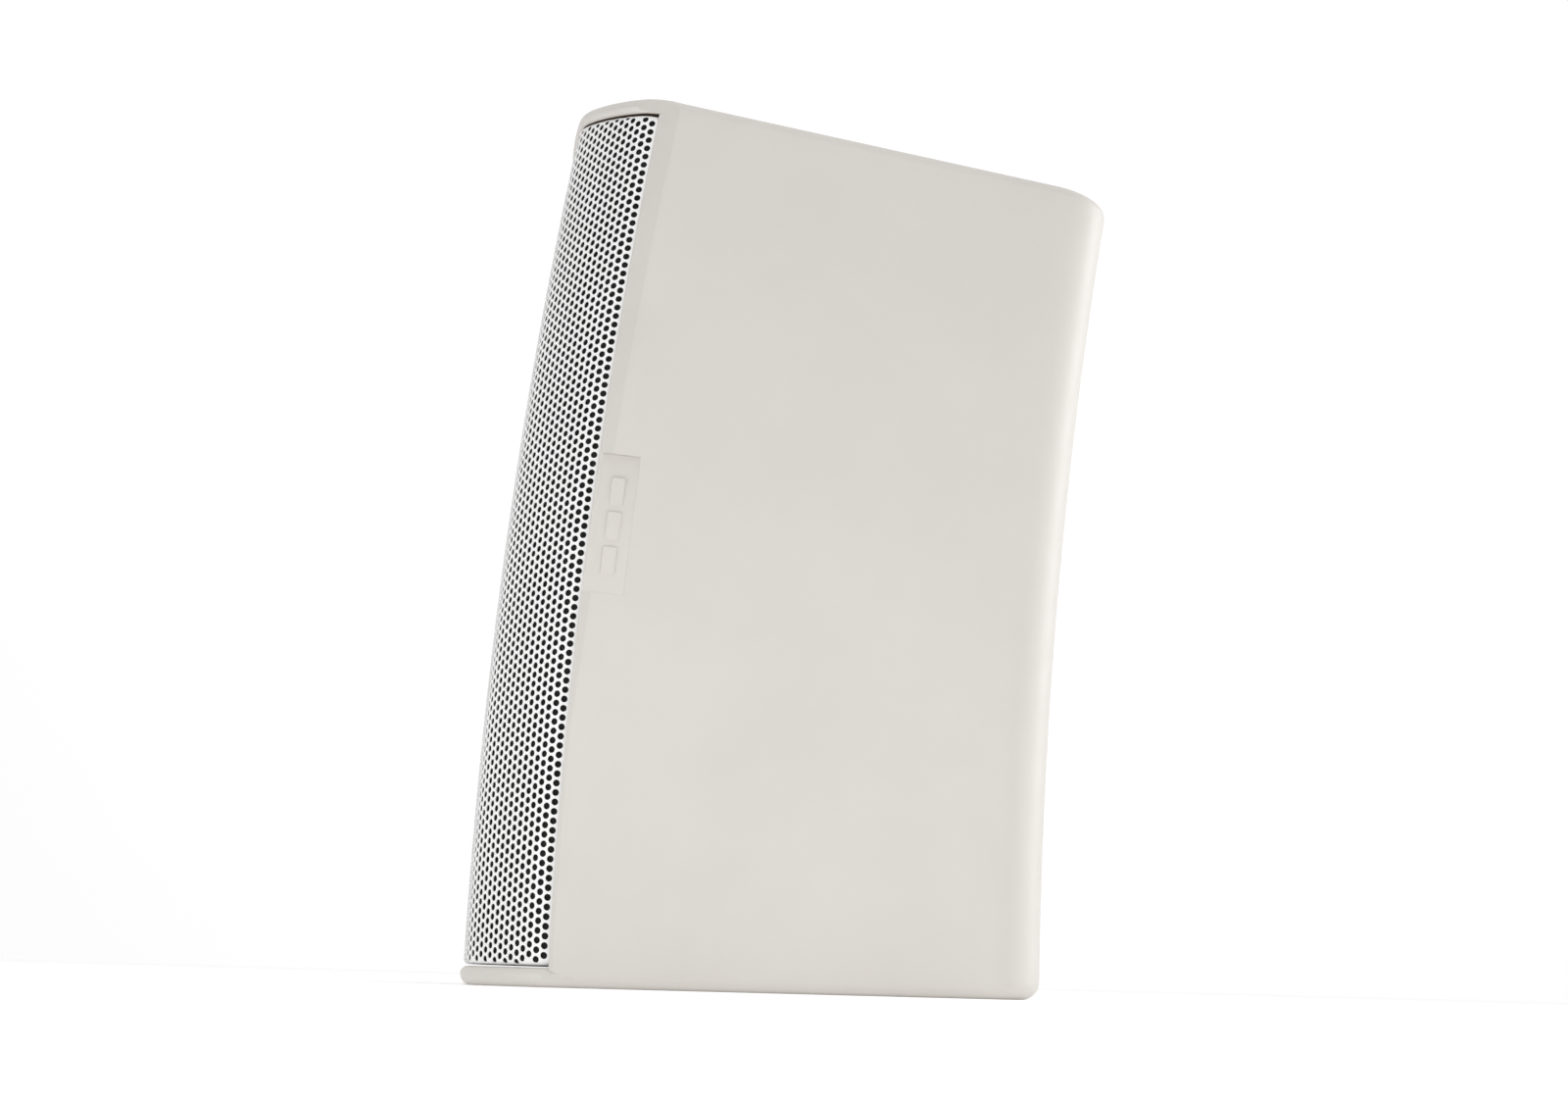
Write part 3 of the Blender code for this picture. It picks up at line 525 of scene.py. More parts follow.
def make_shell():
    side_support = [(side_x(n), n) for n in (-0.0125, -0.0150, -0.030)]
    half = front_half(LIP_PROUD, HALF_WIDTH) + side_support
    half += rear_half(0.0, -REAR_DEPTH, REAR_CORNER_RADIUS)
    outline = mirrored(half)
    back = np.clip(1 - (REAR_DEPTH + np.array(outline)[:, 1]) / REAR_CORNER_RADIUS, 0, 1)
    lower = BOTTOM_FILLET + (REAR_FILLET - BOTTOM_FILLET) * back ** 2 * (3 - 2 * back)
    shell = stack("shell_moulding", rounded_levels(outline, 0.0, HEIGHT, (lower, TOP_FILLET), 56))
    inner_x = HALF_WIDTH - WALL + 0.0002
    opening = [(0.0, 0.065), (0.135, 0.065), (0.135, RIM_N), (inner_x, RIM_N), (inner_x, FLANGE_FRONT_N),
               (0.0, FLANGE_FRONT_N)]
    window_x = inner_x - FLANGE_WIDTH
    window = [(window_x, -0.010), (window_x, -0.030), (-window_x, -0.030), (-window_x, -0.010)]
    low, high = LIP_HEIGHT, HEIGHT - LIP_HEIGHT
    cavity = [(0.0, FLANGE_BACK_N), (side_x(FLANGE_BACK_N) - WALL, FLANGE_BACK_N)]
    cavity += rear_half(WALL, REAR_WALL - REAR_DEPTH, REAR_CORNER_RADIUS - REAR_WALL)
    cutters = [sweep("opening", mirrored(opening), low, high),
               sweep("cavity", mirrored(cavity), LID_WALL, HEIGHT - LID_WALL),
               sweep("window", window, low + FLANGE_WIDTH, high - FLANGE_WIDTH, 24)]
    cutters += [facet_cutter(1), facet_cutter(-1)]
    cutters += [lip_cutter("lower_lip_round", low, 1), lip_cutter("upper_lip_round", high, -1)]
    boolean(shell, 'DIFFERENCE', cutters)
    added = rods("boss", 0.0085, -0.012, -0.0015, INSERTS.values())
    pad_w, pad_h = INPUT_PAD
    added.append(block("input_pad", (-pad_w, -pad_h, -0.0095), (pad_w, pad_h, -0.002), REAR_INPUT))
    boolean(shell, 'UNION', added)
    behind, half_h = (size / 2 + 0.00003 for size in BADGE_SIZE)
    cutters = [
        flared_cutter("plate_pocket", PLATE_POCKET, 0.0053, -0.0033, 0.0005, REAR_INPUT),
        box_loft("plate_window", [(-0.02, *PLATE_WINDOW), (0.01, *PLATE_WINDOW)], REAR_INPUT),
        flared_cutter("bracket_seat", BRACKET_SEAT, 0.006, BRACKET_DEPTH, 0.0004, REAR_BRACKET),
        block("badge_recess", (-0.012, -half_h, -BADGE_RECESS), (behind, half_h, 0.01), badge_frame())]
    cutters += rods("insert_hole", 0.0045, -0.0105, 0.01, INSERTS.values())
    cutters += rods("plate_hole", SCREW_HOLE, -0.02, 0.01, PLATE_SCREWS)
    cutters += rods("ledge_hole", BAFFLE_HOLE, -0.030, 0.020, BAFFLE_SCREWS)
    boolean(shell, 'DIFFERENCE', cutters)
    return shell


def mark_faces(shell):
    """The lips' inner faces get the second material, a painted shade for the dark gap beside the grille;
    the strip beside the grille gets the third, a painted shade that makes it darker than the side.
    """
    for face in shell.data.polygons:
        centre = face.center
        reach = math.hypot(centre.y - BEND_CENTRE_Y, centre.z) - BEND_RADIUS
        v = math.atan2(centre.z, BEND_CENTRE_Y - centre.y) * BEND_RADIUS
        on_lip = min(abs(v - LIP_HEIGHT), abs(v - HEIGHT + LIP_HEIGHT)) < 0.0001
        ahead = reach > RIM_N - FACET_WIDTH - 0.0005 and abs(centre.x) > GRILLE_EDGE_X
        # Painted shade on the lips' inner faces, for the gap beside the grille
        if on_lip and abs(face.normal.z) > 0.9 and reach > FLANGE_FRONT_N - 0.001:
            face.material_index = 1
        # Painted shade on the strip beside the grille
        elif ahead and FACET_NORMAL_X[0] < abs(face.normal.x) < FACET_NORMAL_X[1]:
            face.material_index = 2


# ---- the grille ----
def section_table():
    """Arc length, x, n and normal angle along the right half of the grille's section, from the middle."""
    rows = [(0.0, 0.0, FRONT_N, 0.0)]
    length, x, n = 0.0, 0.0, FRONT_N
    for turns, radius in (*FRONT_ARCS, (EDGE_TURN, None)):
        start, end = (math.radians(turn) for turn in turns)
        if radius is None:
            radius = (GRILLE_EDGE_X - x) / (math.sin(end) - math.sin(start))
        for turn in even(start, end, 200)[1:]:
            rows.append((length + radius * (turn - start), *on_arc(x, n, radius, start, turn), turn))
        length, x, n = rows[-1][:3]
    rows.append((length + n - GRILLE_BACK_N, GRILLE_EDGE_X, GRILLE_BACK_N, math.pi / 2))
    return np.array(rows)


SECTION = section_table()
SECTION_LENGTH = SECTION[-1, 0]
FLAT_END = HEIGHT / 2 - LIP_HEIGHT - GRILLE_CLEARANCE - GRILLE_ROLL
ROLL_END = FLAT_END + GRILLE_ROLL * math.pi / 2
HOLES_END = ROLL_END - 0.0004
# Rows past the last holes: each one's mark in place of a height, and how far past the roll it is
SKIRT = {0.3: 0.0, 0.4: 0.0015, 0.5: 0.0040}


def up_the_arc(t, w):
    """Height from the middle, on the reference arc, of a point w up the flat sheet."""
    n = np.interp(np.abs(t), SECTION[:, 0], SECTION[:, 2])
    rise = np.abs(w) * BEND_RADIUS / (BEND_RADIUS + n)
    beyond = np.clip(rise - HOLES_END, 0, None) / 0.002
    return np.minimum(rise, HOLES_END) + (ROLL_END - HOLES_END) * beyond / (1 + beyond)


def on_grille(t, rise, sense, depth):
    """Points of the sheet: t across from the middle, rise up or down the arc, depth below the outside."""
    reach = np.abs(t)
    x, n, turn = (np.interp(reach, SECTION[:, 0], SECTION[:, k]) for k in (1, 2, 3))
    beyond = np.clip(rise - FLAT_END, 0, None)
    roll = np.clip(beyond / GRILLE_ROLL, 0, math.pi / 2)
    skirt = beyond - roll * GRILLE_ROLL
    inset = GRILLE_ROLL - (GRILLE_ROLL - depth) * np.cos(roll) + skirt
    v = HEIGHT / 2 + sense * (np.minimum(rise, FLAT_END) + (GRILLE_ROLL - depth) * np.sin(roll))
    return bent_array(np.sign(t) * (x - inset * np.sin(turn)), n - inset * np.cos(turn), v)


def turn_between(first, second):
    return abs((first - second + math.pi) % (2 * math.pi) - math.pi)


def cell_template(ring):
    """Triangles that join a cell's six outer corners to the ring of its hole."""
    half_w, half_h = HOLE_PITCH * math.sqrt(3) / 4, HOLE_PITCH / 2
    outer = [(half_w, 0), (half_w, half_h), (-half_w, half_h),
             (-half_w, 0), (-half_w, -half_h), (half_w, -half_h)]
    corner_turns = [math.atan2(y, x) % (2 * math.pi) for x, y in outer]
    owner = []
    for k in range(ring):
        apart = [turn_between(turn, 2 * math.pi * (k + 0.5) / ring) for turn in corner_turns]
        owner.append(apart.index(min(apart)))
    triangles = []
    for k in range(ring):
        triangles.append((owner[k], 6 + (k + 1) % ring, 6 + k))
        if owner[k] != owner[(k + 1) % ring]:
            triangles.append((owner[k], owner[(k + 1) % ring], 6 + (k + 1) % ring))
    return triangles


def make_grille(ring=12):
    """The perforated sheet, made flat from cells of half a pitch and laid round the front."""
    step_t = HOLE_PITCH * math.sqrt(3) / 2
    borders = [(k - HOLE_COLUMNS / 2) * step_t for k in range(HOLE_COLUMNS + 1)]
    margin = even(borders[-1], SECTION_LENGTH, 4)[1:]
    borders = [-t for t in reversed(margin)] + borders + margin
    heights = [j * HOLE_PITCH / 2 for j in range(-HOLE_ROWS, HOLE_ROWS + 1)]
    heights = [-w for w in reversed(SKIRT)] + heights + list(SKIRT)
    rows_n = len(heights)
    grid_t, grid_w = np.meshgrid(borders, heights, indexing='ij')
    grid_count = grid_t.size

    def at(i, j):
        return i * rows_n + j

    triangles, centres = [], []
    template = cell_template(ring)
    for i in range(len(borders) - 1):
        column = i - len(margin)
        perforated = 0 <= column < HOLE_COLUMNS
        j = 0
        while j < rows_n - 1:
            row = j - len(SKIRT) - HOLE_ROWS + 1
            middle_t = (borders[i] + borders[i + 1]) / 2
            reach = up_the_arc(middle_t, row * HOLE_PITCH / 2) + HOLE_RADIUS
            inside = perforated and (row + column) % 2 == 0 and reach < HOLES_END
            if not inside:
                triangles.append((at(i, j), at(i + 1, j), at(i + 1, j + 1)))
                triangles.append((at(i, j), at(i + 1, j + 1), at(i, j + 1)))
                j += 1
                continue
            base = grid_count + len(centres) * ring
            outer = ((i + 1, j + 1), (i + 1, j + 2), (i, j + 2), (i, j + 1), (i, j), (i + 1, j))
            lookup = [at(*corner) for corner in outer] + [base + k for k in range(ring)]
            triangles += [tuple(lookup[k] for k in triangle) for triangle in template]
            centres.append((middle_t, row * HOLE_PITCH / 2))
            j += 2
    centres = np.array(centres)
    turns = 2 * np.pi * np.arange(ring) / ring
    ring_t = (centres[:, :1] + HOLE_RADIUS * np.cos(turns)).ravel()
    ring_w = (centres[:, 1:] + HOLE_RADIUS * np.sin(turns)).ravel()
    all_t = np.concatenate([grid_t.ravel(), ring_t])
    all_w = np.concatenate([grid_w.ravel(), ring_w])
    rise = up_the_arc(all_t, all_w)
    for mark, past in SKIRT.items():
        rise = np.where(np.isclose(np.abs(all_w), mark), ROLL_END + past, rise)
    front = on_grille(all_t, rise, np.sign(all_w), 0.0)
    back = on_grille(all_t, rise, np.sign(all_w), GRILLE_SHEET)
    count = len(front)
    triangles = np.array(triangles)
    rings = grid_count + np.arange(len(centres))[:, None] * ring + np.arange(ring)
    following = np.roll(rings, -1, axis=1)
    hole_walls = np.stack([rings, following, following + count, rings + count], axis=-1).reshape(-1, 4)
    edge = np.array(border_of(len(borders) - 1, rows_n - 1, at))
    ahead = np.roll(edge, -1)
    edge_walls = np.stack([edge, edge + count, ahead + count, ahead], axis=-1)
    faces = triangles.tolist() + (triangles[:, ::-1] + count).tolist()
    faces += hole_walls.tolist() + edge_walls.tolist()
    mesh = bpy.data.meshes.new("grille_sheet")
    mesh.from_pydata(np.concatenate([front, back]).tolist(), [], faces)
    mesh.update()
    soften(mesh, 40)
    # The hole walls get the second material, a painted shade that keeps the holes dark
    wall_start = 2 * len(triangles)
    indices = np.zeros(len(mesh.polygons), dtype=np.int32)
    indices[wall_start:wall_start + len(hole_walls)] = 1
    mesh.polygons.foreach_set("material_index", indices)
    return link("grille_sheet", mesh)


# ---- liner, badge and baffle ----
def tray_outline(offset, edge_x, back_n):
    return mirrored(front_half(offset, edge_x) + [(edge_x, back_n)])


def make_liner():
    low, high = LIP_HEIGHT + 0.0004, HEIGHT - LIP_HEIGHT - 0.0004
    inset = LINER_DEPTH
    liner = sweep("grille_liner", tray_outline(-inset, GRILLE_EDGE_X - inset, GRILLE_BACK_N),
                  low + inset, high - inset)
    inset += LINER_SHEET
    hollow = sweep("liner_hollow", tray_outline(-inset, GRILLE_EDGE_X - inset, -0.03),
                   low + inset, high - inset)
    boolean(liner, 'DIFFERENCE', [hollow])
    return liner


def badge_fall(y):
    """How far the face of the badge lies back along its middle, most at its upper end."""
    return BADGE_DIP * (y / BADGE_SIZE[1] + 0.5) ** 2.2


def make_badge():
    """A plate from the rim to behind the strip, dipping towards its upper end, with three plain bars."""
    half_w, half_h = BADGE_SIZE[0] / 2, BADGE_SIZE[1] / 2
    steps = even(-1.0, 1.0, 40)
    heights = even(-half_h, half_h, 124)
    across, up = len(steps), len(heights)
    points = []
    for y in heights:
        to_rim = RIM_N - BADGE_N - 0.0001 - y ** 2 / (2 * BEND_RADIUS)
        for t in steps:
            x = half_w + (to_rim + half_w) * (t - 1) / 2
            points.append(Vector((x, y, -badge_fall(y) * (1 - t ** 4))))
    count = len(points)
    points += [Vector((point.x, point.y, BADGE_BACK)) for point in points]
    faces = []
    for j in range(up - 1):
        for i in range(across - 1):
            corner = j * across + i
            face = [corner, corner + 1, corner + across + 1, corner + across]
            faces += [face, [index + count for index in face]]
    border = border_of(across - 1, up - 1, lambda i, j: j * across + i)
    for here, after in zip(border, border[1:] + border[:1]):
        faces.append([here, after, after + count, here + count])
    place = badge_frame()
    plate = solid("badge_plate", points, faces, place)
    boolean(plate, 'DIFFERENCE', [facet_cutter(1)])
    bars = []
    for y in BADGE_BARS:
        top = BAR_RISE - badge_fall(y)
        levels = [(-0.0026, *BAR_FOOT), (top - 0.0005, *BAR_FOOT), (top, *BAR_CROWN)]
        bars.append(box_loft("bar", levels, shift(place, y=y)))
    boolean(plate, 'UNION', bars)
    return plate


def make_baffle():
    edge_x = HALF_WIDTH - WALL - 0.0004
    flange = [(edge_x, BAFFLE_STEP_N), (edge_x, BAFFLE_BACK_N),
              (-edge_x, BAFFLE_BACK_N), (-edge_x, BAFFLE_STEP_N)]
    raised = rounded([(0.109, BAFFLE_FRONT_N), (0.1165, BAFFLE_STEP_N - 0.002),
                      (-0.1165, BAFFLE_STEP_N - 0.002), (-0.109, BAFFLE_FRONT_N)], 0.0075, 8)
    hollow_n = BAFFLE_FRONT_N - BAFFLE_SKIN
    hollow = [(0.104, hollow_n), (0.1095, BAFFLE_BACK_N - 0.003),
              (-0.1095, BAFFLE_BACK_N - 0.003), (-0.104, hollow_n)]
    low, high = LIP_HEIGHT + 0.0003, HEIGHT - LIP_HEIGHT - 0.0003
    baffle = sweep("baffle_moulding", flange, low, high)
    levels = rounded_levels(raised, low + 0.004, high - 0.004, (0.002, 0.002), 40)
    boolean(baffle, 'UNION', [stack("raised_block", levels)])
    boolean(baffle, 'DIFFERENCE', [sweep("hollow", hollow, low + 0.013, high - 0.013)])
    seats = [turned("woofer_seat", [(0, -8.5), (108, -8.5), (108, 0), (0, 0)], WOOFER, 128, 1.2),
             turned("tweeter_seat", [(0, -8.5), (59, -8.5), (59, 0), (0, 0)], TWEETER, 96, 1.2)]
    boolean(baffle, 'UNION', seats)
    cutters = [rod("woofer_opening", 0.0925, -0.05, 0.02, WOOFER, 128),
               rod("tweeter_opening", 0.047, -0.05, 0.02, TWEETER, 96)]
    cutters += rods("port_opening", 0.0188, -0.05, 0.02, PORTS.values())
    cutters += rods("woofer_hole", WOOFER_HOLE, -0.03, 0.01, WOOFER_SCREWS, 24)
    cutters += rods("waveguide_hole", SCREW_HOLE, -0.03, 0.01, WAVEGUIDE_SCREWS, 24)
    cutters += rods("baffle_hole", BAFFLE_HOLE, -0.04, 0.02, BAFFLE_SCREWS, 24)
    boolean(baffle, 'DIFFERENCE', cutters)
    return baffle


# ---- drivers and ports, as profiles of (radius, height) in millimetres ----
BASKET = [(105, 1.6), (105, 5.1), (86.5, 5.1), (85.5, 2.0), (83.0, -8.0), (53.5, -46.0), (46.0, -46.0),
          (46.0, -54.7), (26.0, -54.7), (26.0, -57.7), (50.5, -57.7), (50.5, -49.2), (56.0, -49.2),
          (90.0, -8.5), (91.8, 1.6)]
SURROUND = [(91.0, 5.4), (91.0, 6.1), (87.6, 6.1), (86.6, 9.6), (84.0, 12.0), (81.5, 12.6), (79.0, 12.0),
            (76.8, 9.6), (76.2, 5.0), (76.2, 2.5), (76.2, 0.0), (76.2, -2.0), (77.0, -2.0), (77.0, 0.0),
            (77.0, 2.5), (77.0, 5.0), (77.6, 9.2), (79.3, 11.2), (81.5, 11.8), (83.7, 11.2), (85.8, 9.2),
            (86.9, 5.4)]
CONE = [(75.6, -2.0), (75.6, -0.9), (73.5, -0.6), (60.0, -7.6), (48.0, -15.2), (33.0, -25.3),
        (21.0, -34.0), (20.2, -34.0), (20.2, -36.5), (21.2, -36.5), (33.5, -27.2), (47.6, -16.9),
        (59.6, -9.3), (73.0, -2.0)]
DUST_CAP = [(0, -14.0), (10.0, -14.9), (19.0, -17.6), (27.0, -22.3), (30.6, -25.8)]
GUIDE = [(56.0, 0.3), (56.0, 3.2), (55.0, 4.2), (48.0, 4.2), (44.0, 3.2), (36.0, -0.5), (27.0, -6.2),
         (19.0, -11.0), (14.6, -13.2), (13.6, -14.0), (13.6, -16.2), (40.0, -16.2), (40.0, -13.4),
         (24.0, -12.4), (29.0, -9.0), (38.0, -3.4), (46.4, 0.3)]
DOME = [(0, -9.2), (4.0, -9.8), (7.6, -11.4), (10.2, -13.9), (11.4, -13.1), (12.4, -13.9), (12.9, -14.6)]
PORT = [(21.6, 0.3), (21.6, 2.2), (20.8, 3.0), (19.4, 2.6), (17.2, -0.5), (16.2, -6.0), (16.2, -104.0),
        (18.5, -104.0), (18.5, 0.3)]
WOOFER_YOKE = [(5.0, -90.0), (48.0, -90.0), (50.0, -88.0), (50.0, -82.3), (17.8, -82.3), (17.8, -58.0),
               (5.0, -58.0)]
TWEETER_YOKE = [(2.5, -36.0), (32.0, -36.0), (32.0, -31.3), (11.6, -31.3), (11.6, -16.5), (2.5, -16.5)]
REAR_CUP = [(36.5, -16.5), (39.0, -16.5), (39.0, -56.0), (36.5, -59.0), (0, -59.0), (0, -56.5),
            (35.0, -56.5), (36.5, -55.0)]
TERMINAL_KNOB = [(2.3, 6.0), (6.0, 6.0), (7.0, 7.0), (7.0, 16.6), (6.0, 17.6), (2.3, 17.6)]
SELECTOR_KNOB = [(3.3, 2.0), (11.5, 2.0), (12.0, 3.0), (11.0, 14.0), (10.0, 15.0), (0, 15.0), (0, 12.6),
                 (3.3, 12.6)]


def thickened(top, sheet):
    return top + [(r, a - sheet) for r, a in reversed(top)]


def spider_profile():
    top = []
    for i in range(13):
        top.append((21.0 + 26.0 * i / 12, -44.6 + (1.2 if i % 2 else 0.0)))
    return thickened(top + [(52.0, -44.6)], 0.8)


def threaded(radius, depth, low, high, pitch):
    """A wall from low to high, grooved like a thread."""
    wall = []
    for i in range(round((high - low) / pitch)):
        wall += [(radius, low + pitch * (i + 0.1)), (radius + depth, low + pitch * (i + 0.5))]
    return wall


def make_basket():
    basket = turned("basket_casting", BASKET, WOOFER, 128)
    near, far = (0.051, -0.021, -0.040), (0.120, 0.021, -0.010)
    cutters = [block("basket_window", near, far, WOOFER @ spin(turn)) for turn in range(0, 360, 60)]
    cutters += rods("basket_hole", WOOFER_HOLE, -0.01, 0.01, WOOFER_SCREWS, 24)
    boolean(basket, 'DIFFERENCE', cutters)
    return basket


def make_guide():
    guide = turned("waveguide_moulding", GUIDE, TWEETER, 128, 0.8)
    boolean(guide, 'DIFFERENCE', rods("guide_hole", SCREW_HOLE, -0.01, 0.01, WAVEGUIDE_SCREWS, 24))
    return guide


def screw_mesh(name, head, shank, length, tall):
    """A pan-head screw with a cross recess, its head resting on z = 0; sizes in millimetres."""
    profile = [(0, tall), (head * 0.55, tall), (head * 0.9, tall * 0.7), (head, tall * 0.25), (head, 0),
               (shank, 0), (shank, 1.5 - length), (0, -length)]
    screw = turned(name, profile, Matrix.Identity(4), 40, 0.3)
    arm, half, depth = head * 0.00052, head * 0.000085, tall * 0.00045
    top = tall / 1000
    slots = [block("slot", (-x, -y, top - depth), (x, y, top + 0.001), Matrix())
             for x, y in ((arm, half), (half, arm))]
    boolean(screw, 'DIFFERENCE', slots)
    mesh = screw.data
    bpy.data.objects.remove(screw)
    return mesh


def place_screws():
    """Four screws in each group: name, (head, shank, length, height of the head), places, rest."""
    groups = (("woofer_screw", (4.2, 2.0, 14.5, 2.4), WOOFER_SCREWS, 0.0054),
              ("waveguide_screw", (3.2, 1.5, 13.5, 1.8), WAVEGUIDE_SCREWS, 0.0045),
              ("baffle_screw", (3.8, 1.8, 29.5, 2.4), BAFFLE_SCREWS, 0.0003),
              ("plate_screw", (3.0, 1.5, 10.0, 1.6), PLATE_SCREWS, -0.0003))
    for kind, sizes, places, rest in groups:
        mesh = screw_mesh(kind, *sizes)
        for index, place in enumerate(places, 1):
            seated = shift(place, z=rest) @ spin(37 * index)
            put(link(f"{kind}_shape_{index}", mesh, seated), f"{kind}_{index}")


# ---- rear input ----
# Levels of rounded boxes: height, half width, half height, radius of the corners
CUP_PLATE = ((-0.003, 0.067, 0.047, 0.005), (-0.0010, 0.067, 0.047, 0.005),
             (-0.0006, 0.0666, 0.0466, 0.0046))
CUP_TRAY = ((-0.032, 0.0588, 0.0388, 0.005), (-0.002, 0.0588, 0.0388, 0.005))
CUP_HOLLOW = ((CUP_FLOOR, 0.0545, 0.0345, 0.002), (CUP_FLOOR + 0.0004, 0.0561, 0.0361, 0.0036),
              (CUP_FLOOR + 0.002, 0.0565, 0.0365, 0.004), (-0.0013, 0.0565, 0.0365, 0.004),
              (-0.0006, 0.0572, 0.0372, 0.0047), (0.0094, 0.0672, 0.0472, 0.0147))


def make_input_cup():
    cup = box_loft("input_cup_moulding", CUP_PLATE, REAR_INPUT)
    boolean(cup, 'UNION', [box_loft("tray", CUP_TRAY, REAR_INPUT)])
    cutters = [box_loft("cup_hollow", CUP_HOLLOW, REAR_INPUT)]
    cutters += rods("cup_hole", SCREW_HOLE, -0.01, 0.01, PLATE_SCREWS, 24)
    cutters += rods("post_hole", 0.0028, -0.01, 0.01, TERMINALS.values(), 32)
    cutters.append(rod("shaft_hole", 0.0050, -0.01, 0.01, SELECTOR))
    boolean(cup, 'DIFFERENCE', cutters)
    return cup


def make_switch():
    body = block("switch_case", (-0.013, -0.013, -0.016), (0.013, 0.013, -0.0028), SELECTOR)
    boolean(body, 'UNION', [rod("bush", 0.0046, -0.004, 0.0015, SELECTOR),
                            rod("shaft", 0.0030, -0.004, 0.012, SELECTOR)])
    return body


def make_selector_knob():
    knob = turned("selector_knob_shape", SELECTOR_KNOB, SELECTOR, 240, 0.4, 24, 0.35)
    pointer = block("pointer", (-0.0006, 0.004, 0.0144), (0.0006, 0.02, 0.03), SELECTOR)
    boolean(knob, 'DIFFERENCE', [pointer])
    return knob


def make_dial():
    """Raised dots on the cup's floor, one for each position of the selector."""
    places = [shift(SELECTOR @ spin(turn), y=0.0146) for turn in (0, -75, -37.5, 37.5, 75)]
    dots = rods("dial_dots", 0.0007, -0.0002, 0.00025, places, 20)
    boolean(dots[0], 'UNION', dots[1:])
    return dots[0]


# ---- materials ----
def map_range(tree, value, limits):
    """Maps the value from between the first two limits to between the last two."""
    node = tree.nodes.new("ShaderNodeMapRange")
    for key, number in zip(("From Min", "From Max", "To Min", "To Max"), limits):
        node.inputs[key].default_value = number
    tree.links.new(value, node.inputs["Value"])
    return node.outputs["Result"]


class Nodes:
    """A small helper that builds one material's node tree."""

    def __init__(self, name, base, roughness, **constants):
        self.material = bpy.data.materials.new(name)
        self.material.use_nodes = True
        self.tree = self.material.node_tree
        self.shader = self.tree.nodes["Principled BSDF"]
        self.shader.inputs["Base Color"].default_value = (*base, 1.0)
        self.shader.inputs["Roughness"].default_value = roughness
        for socket, value in constants.items():
            self.shader.inputs[socket.replace("_", " ")].default_value = value
        self.coords = self.tree.nodes.new("ShaderNodeTexCoord").outputs["Object"]

    def add(self, kind, **values):
        node = self.tree.nodes.new(kind)
        for key, value in values.items():
            if key in node.inputs:
                node.inputs[key].default_value = value
            else:
                setattr(node, key, value)
        return node

    def join(self, start, end):
        self.tree.links.new(start, end)

    def noise(self, scale, detail=3.0, roughness=0.5):
        node = self.add("ShaderNodeTexNoise", Scale=scale, Detail=detail, Roughness=roughness)
        self.join(self.coords, node.inputs["Vector"])
        return node.outputs["Fac"]

    def ramp(self, value, low, high, low_at=0.3, high_at=0.7):
        return map_range(self.tree, value, (low_at, high_at, low, high))

    def tint(self, value, dark, light):
        """Colours from dark to light; the mix node's colours are its inputs 6 and 7 and its output 2."""
        node = self.add("ShaderNodeMix", data_type='RGBA')
        node.inputs[6].default_value = (*dark, 1.0)
        node.inputs[7].default_value = (*light, 1.0)
        self.join(value, node.inputs[0])
        self.join(node.outputs[2], self.shader.inputs["Base Color"])

    def rough(self, value, low, high):
        self.join(self.ramp(value, low, high), self.shader.inputs["Roughness"])

    def bump(self, *layers):
        """Layers of (height, strength, distance), the coarsest first."""
        normal = None
        for height, strength, distance in layers:
            node = self.add("ShaderNodeBump", Strength=strength, Distance=distance)
            self.join(height, node.inputs["Height"])
            if normal is not None:
                self.join(normal, node.inputs["Normal"])
            normal = node.outputs["Normal"]
        self.join(normal, self.shader.inputs["Normal"])


SHELL_COLOURS = ((0.594, 0.566, 0.531), (0.605, 0.575, 0.540), (0.616, 0.588, 0.553))
# Painted shade: the strip beside the grille is coloured this much darker than the rest of the shell
STRIP_PAINTED_SHADE = 0.955


def shell_plastic(name, shade=1.0):
    # A shade below 1 darkens the colours as painted shade, for the strip beside the grille
    dark, base, light = ([shade * part for part in colour] for colour in SHELL_COLOURS)
    look = Nodes(name, base, 0.46)
    blotch = look.noise(14.0, 3.0, 0.55)
    look.tint(look.ramp(blotch, 0.0, 1.0), dark, light)
    grain = look.noise(2600.0, 2.0, 0.6)
    look.rough(look.noise(60.0), 0.43, 0.50)
    look.bump((look.noise(35.0, 2.0), 0.10, 0.0004), (grain, 0.22, 0.00008))
    return look.material


def grille_paint():
    look = Nodes("grille_paint", (0.83, 0.83, 0.825), 0.42)
    look.tint(look.ramp(look.noise(22.0), 0.0, 1.0), (0.82, 0.82, 0.815), (0.84, 0.84, 0.835))
    look.rough(look.noise(300.0), 0.38, 0.47)
    look.bump((look.noise(1500.0, 2.0), 0.18, 0.00006))
    return look.material


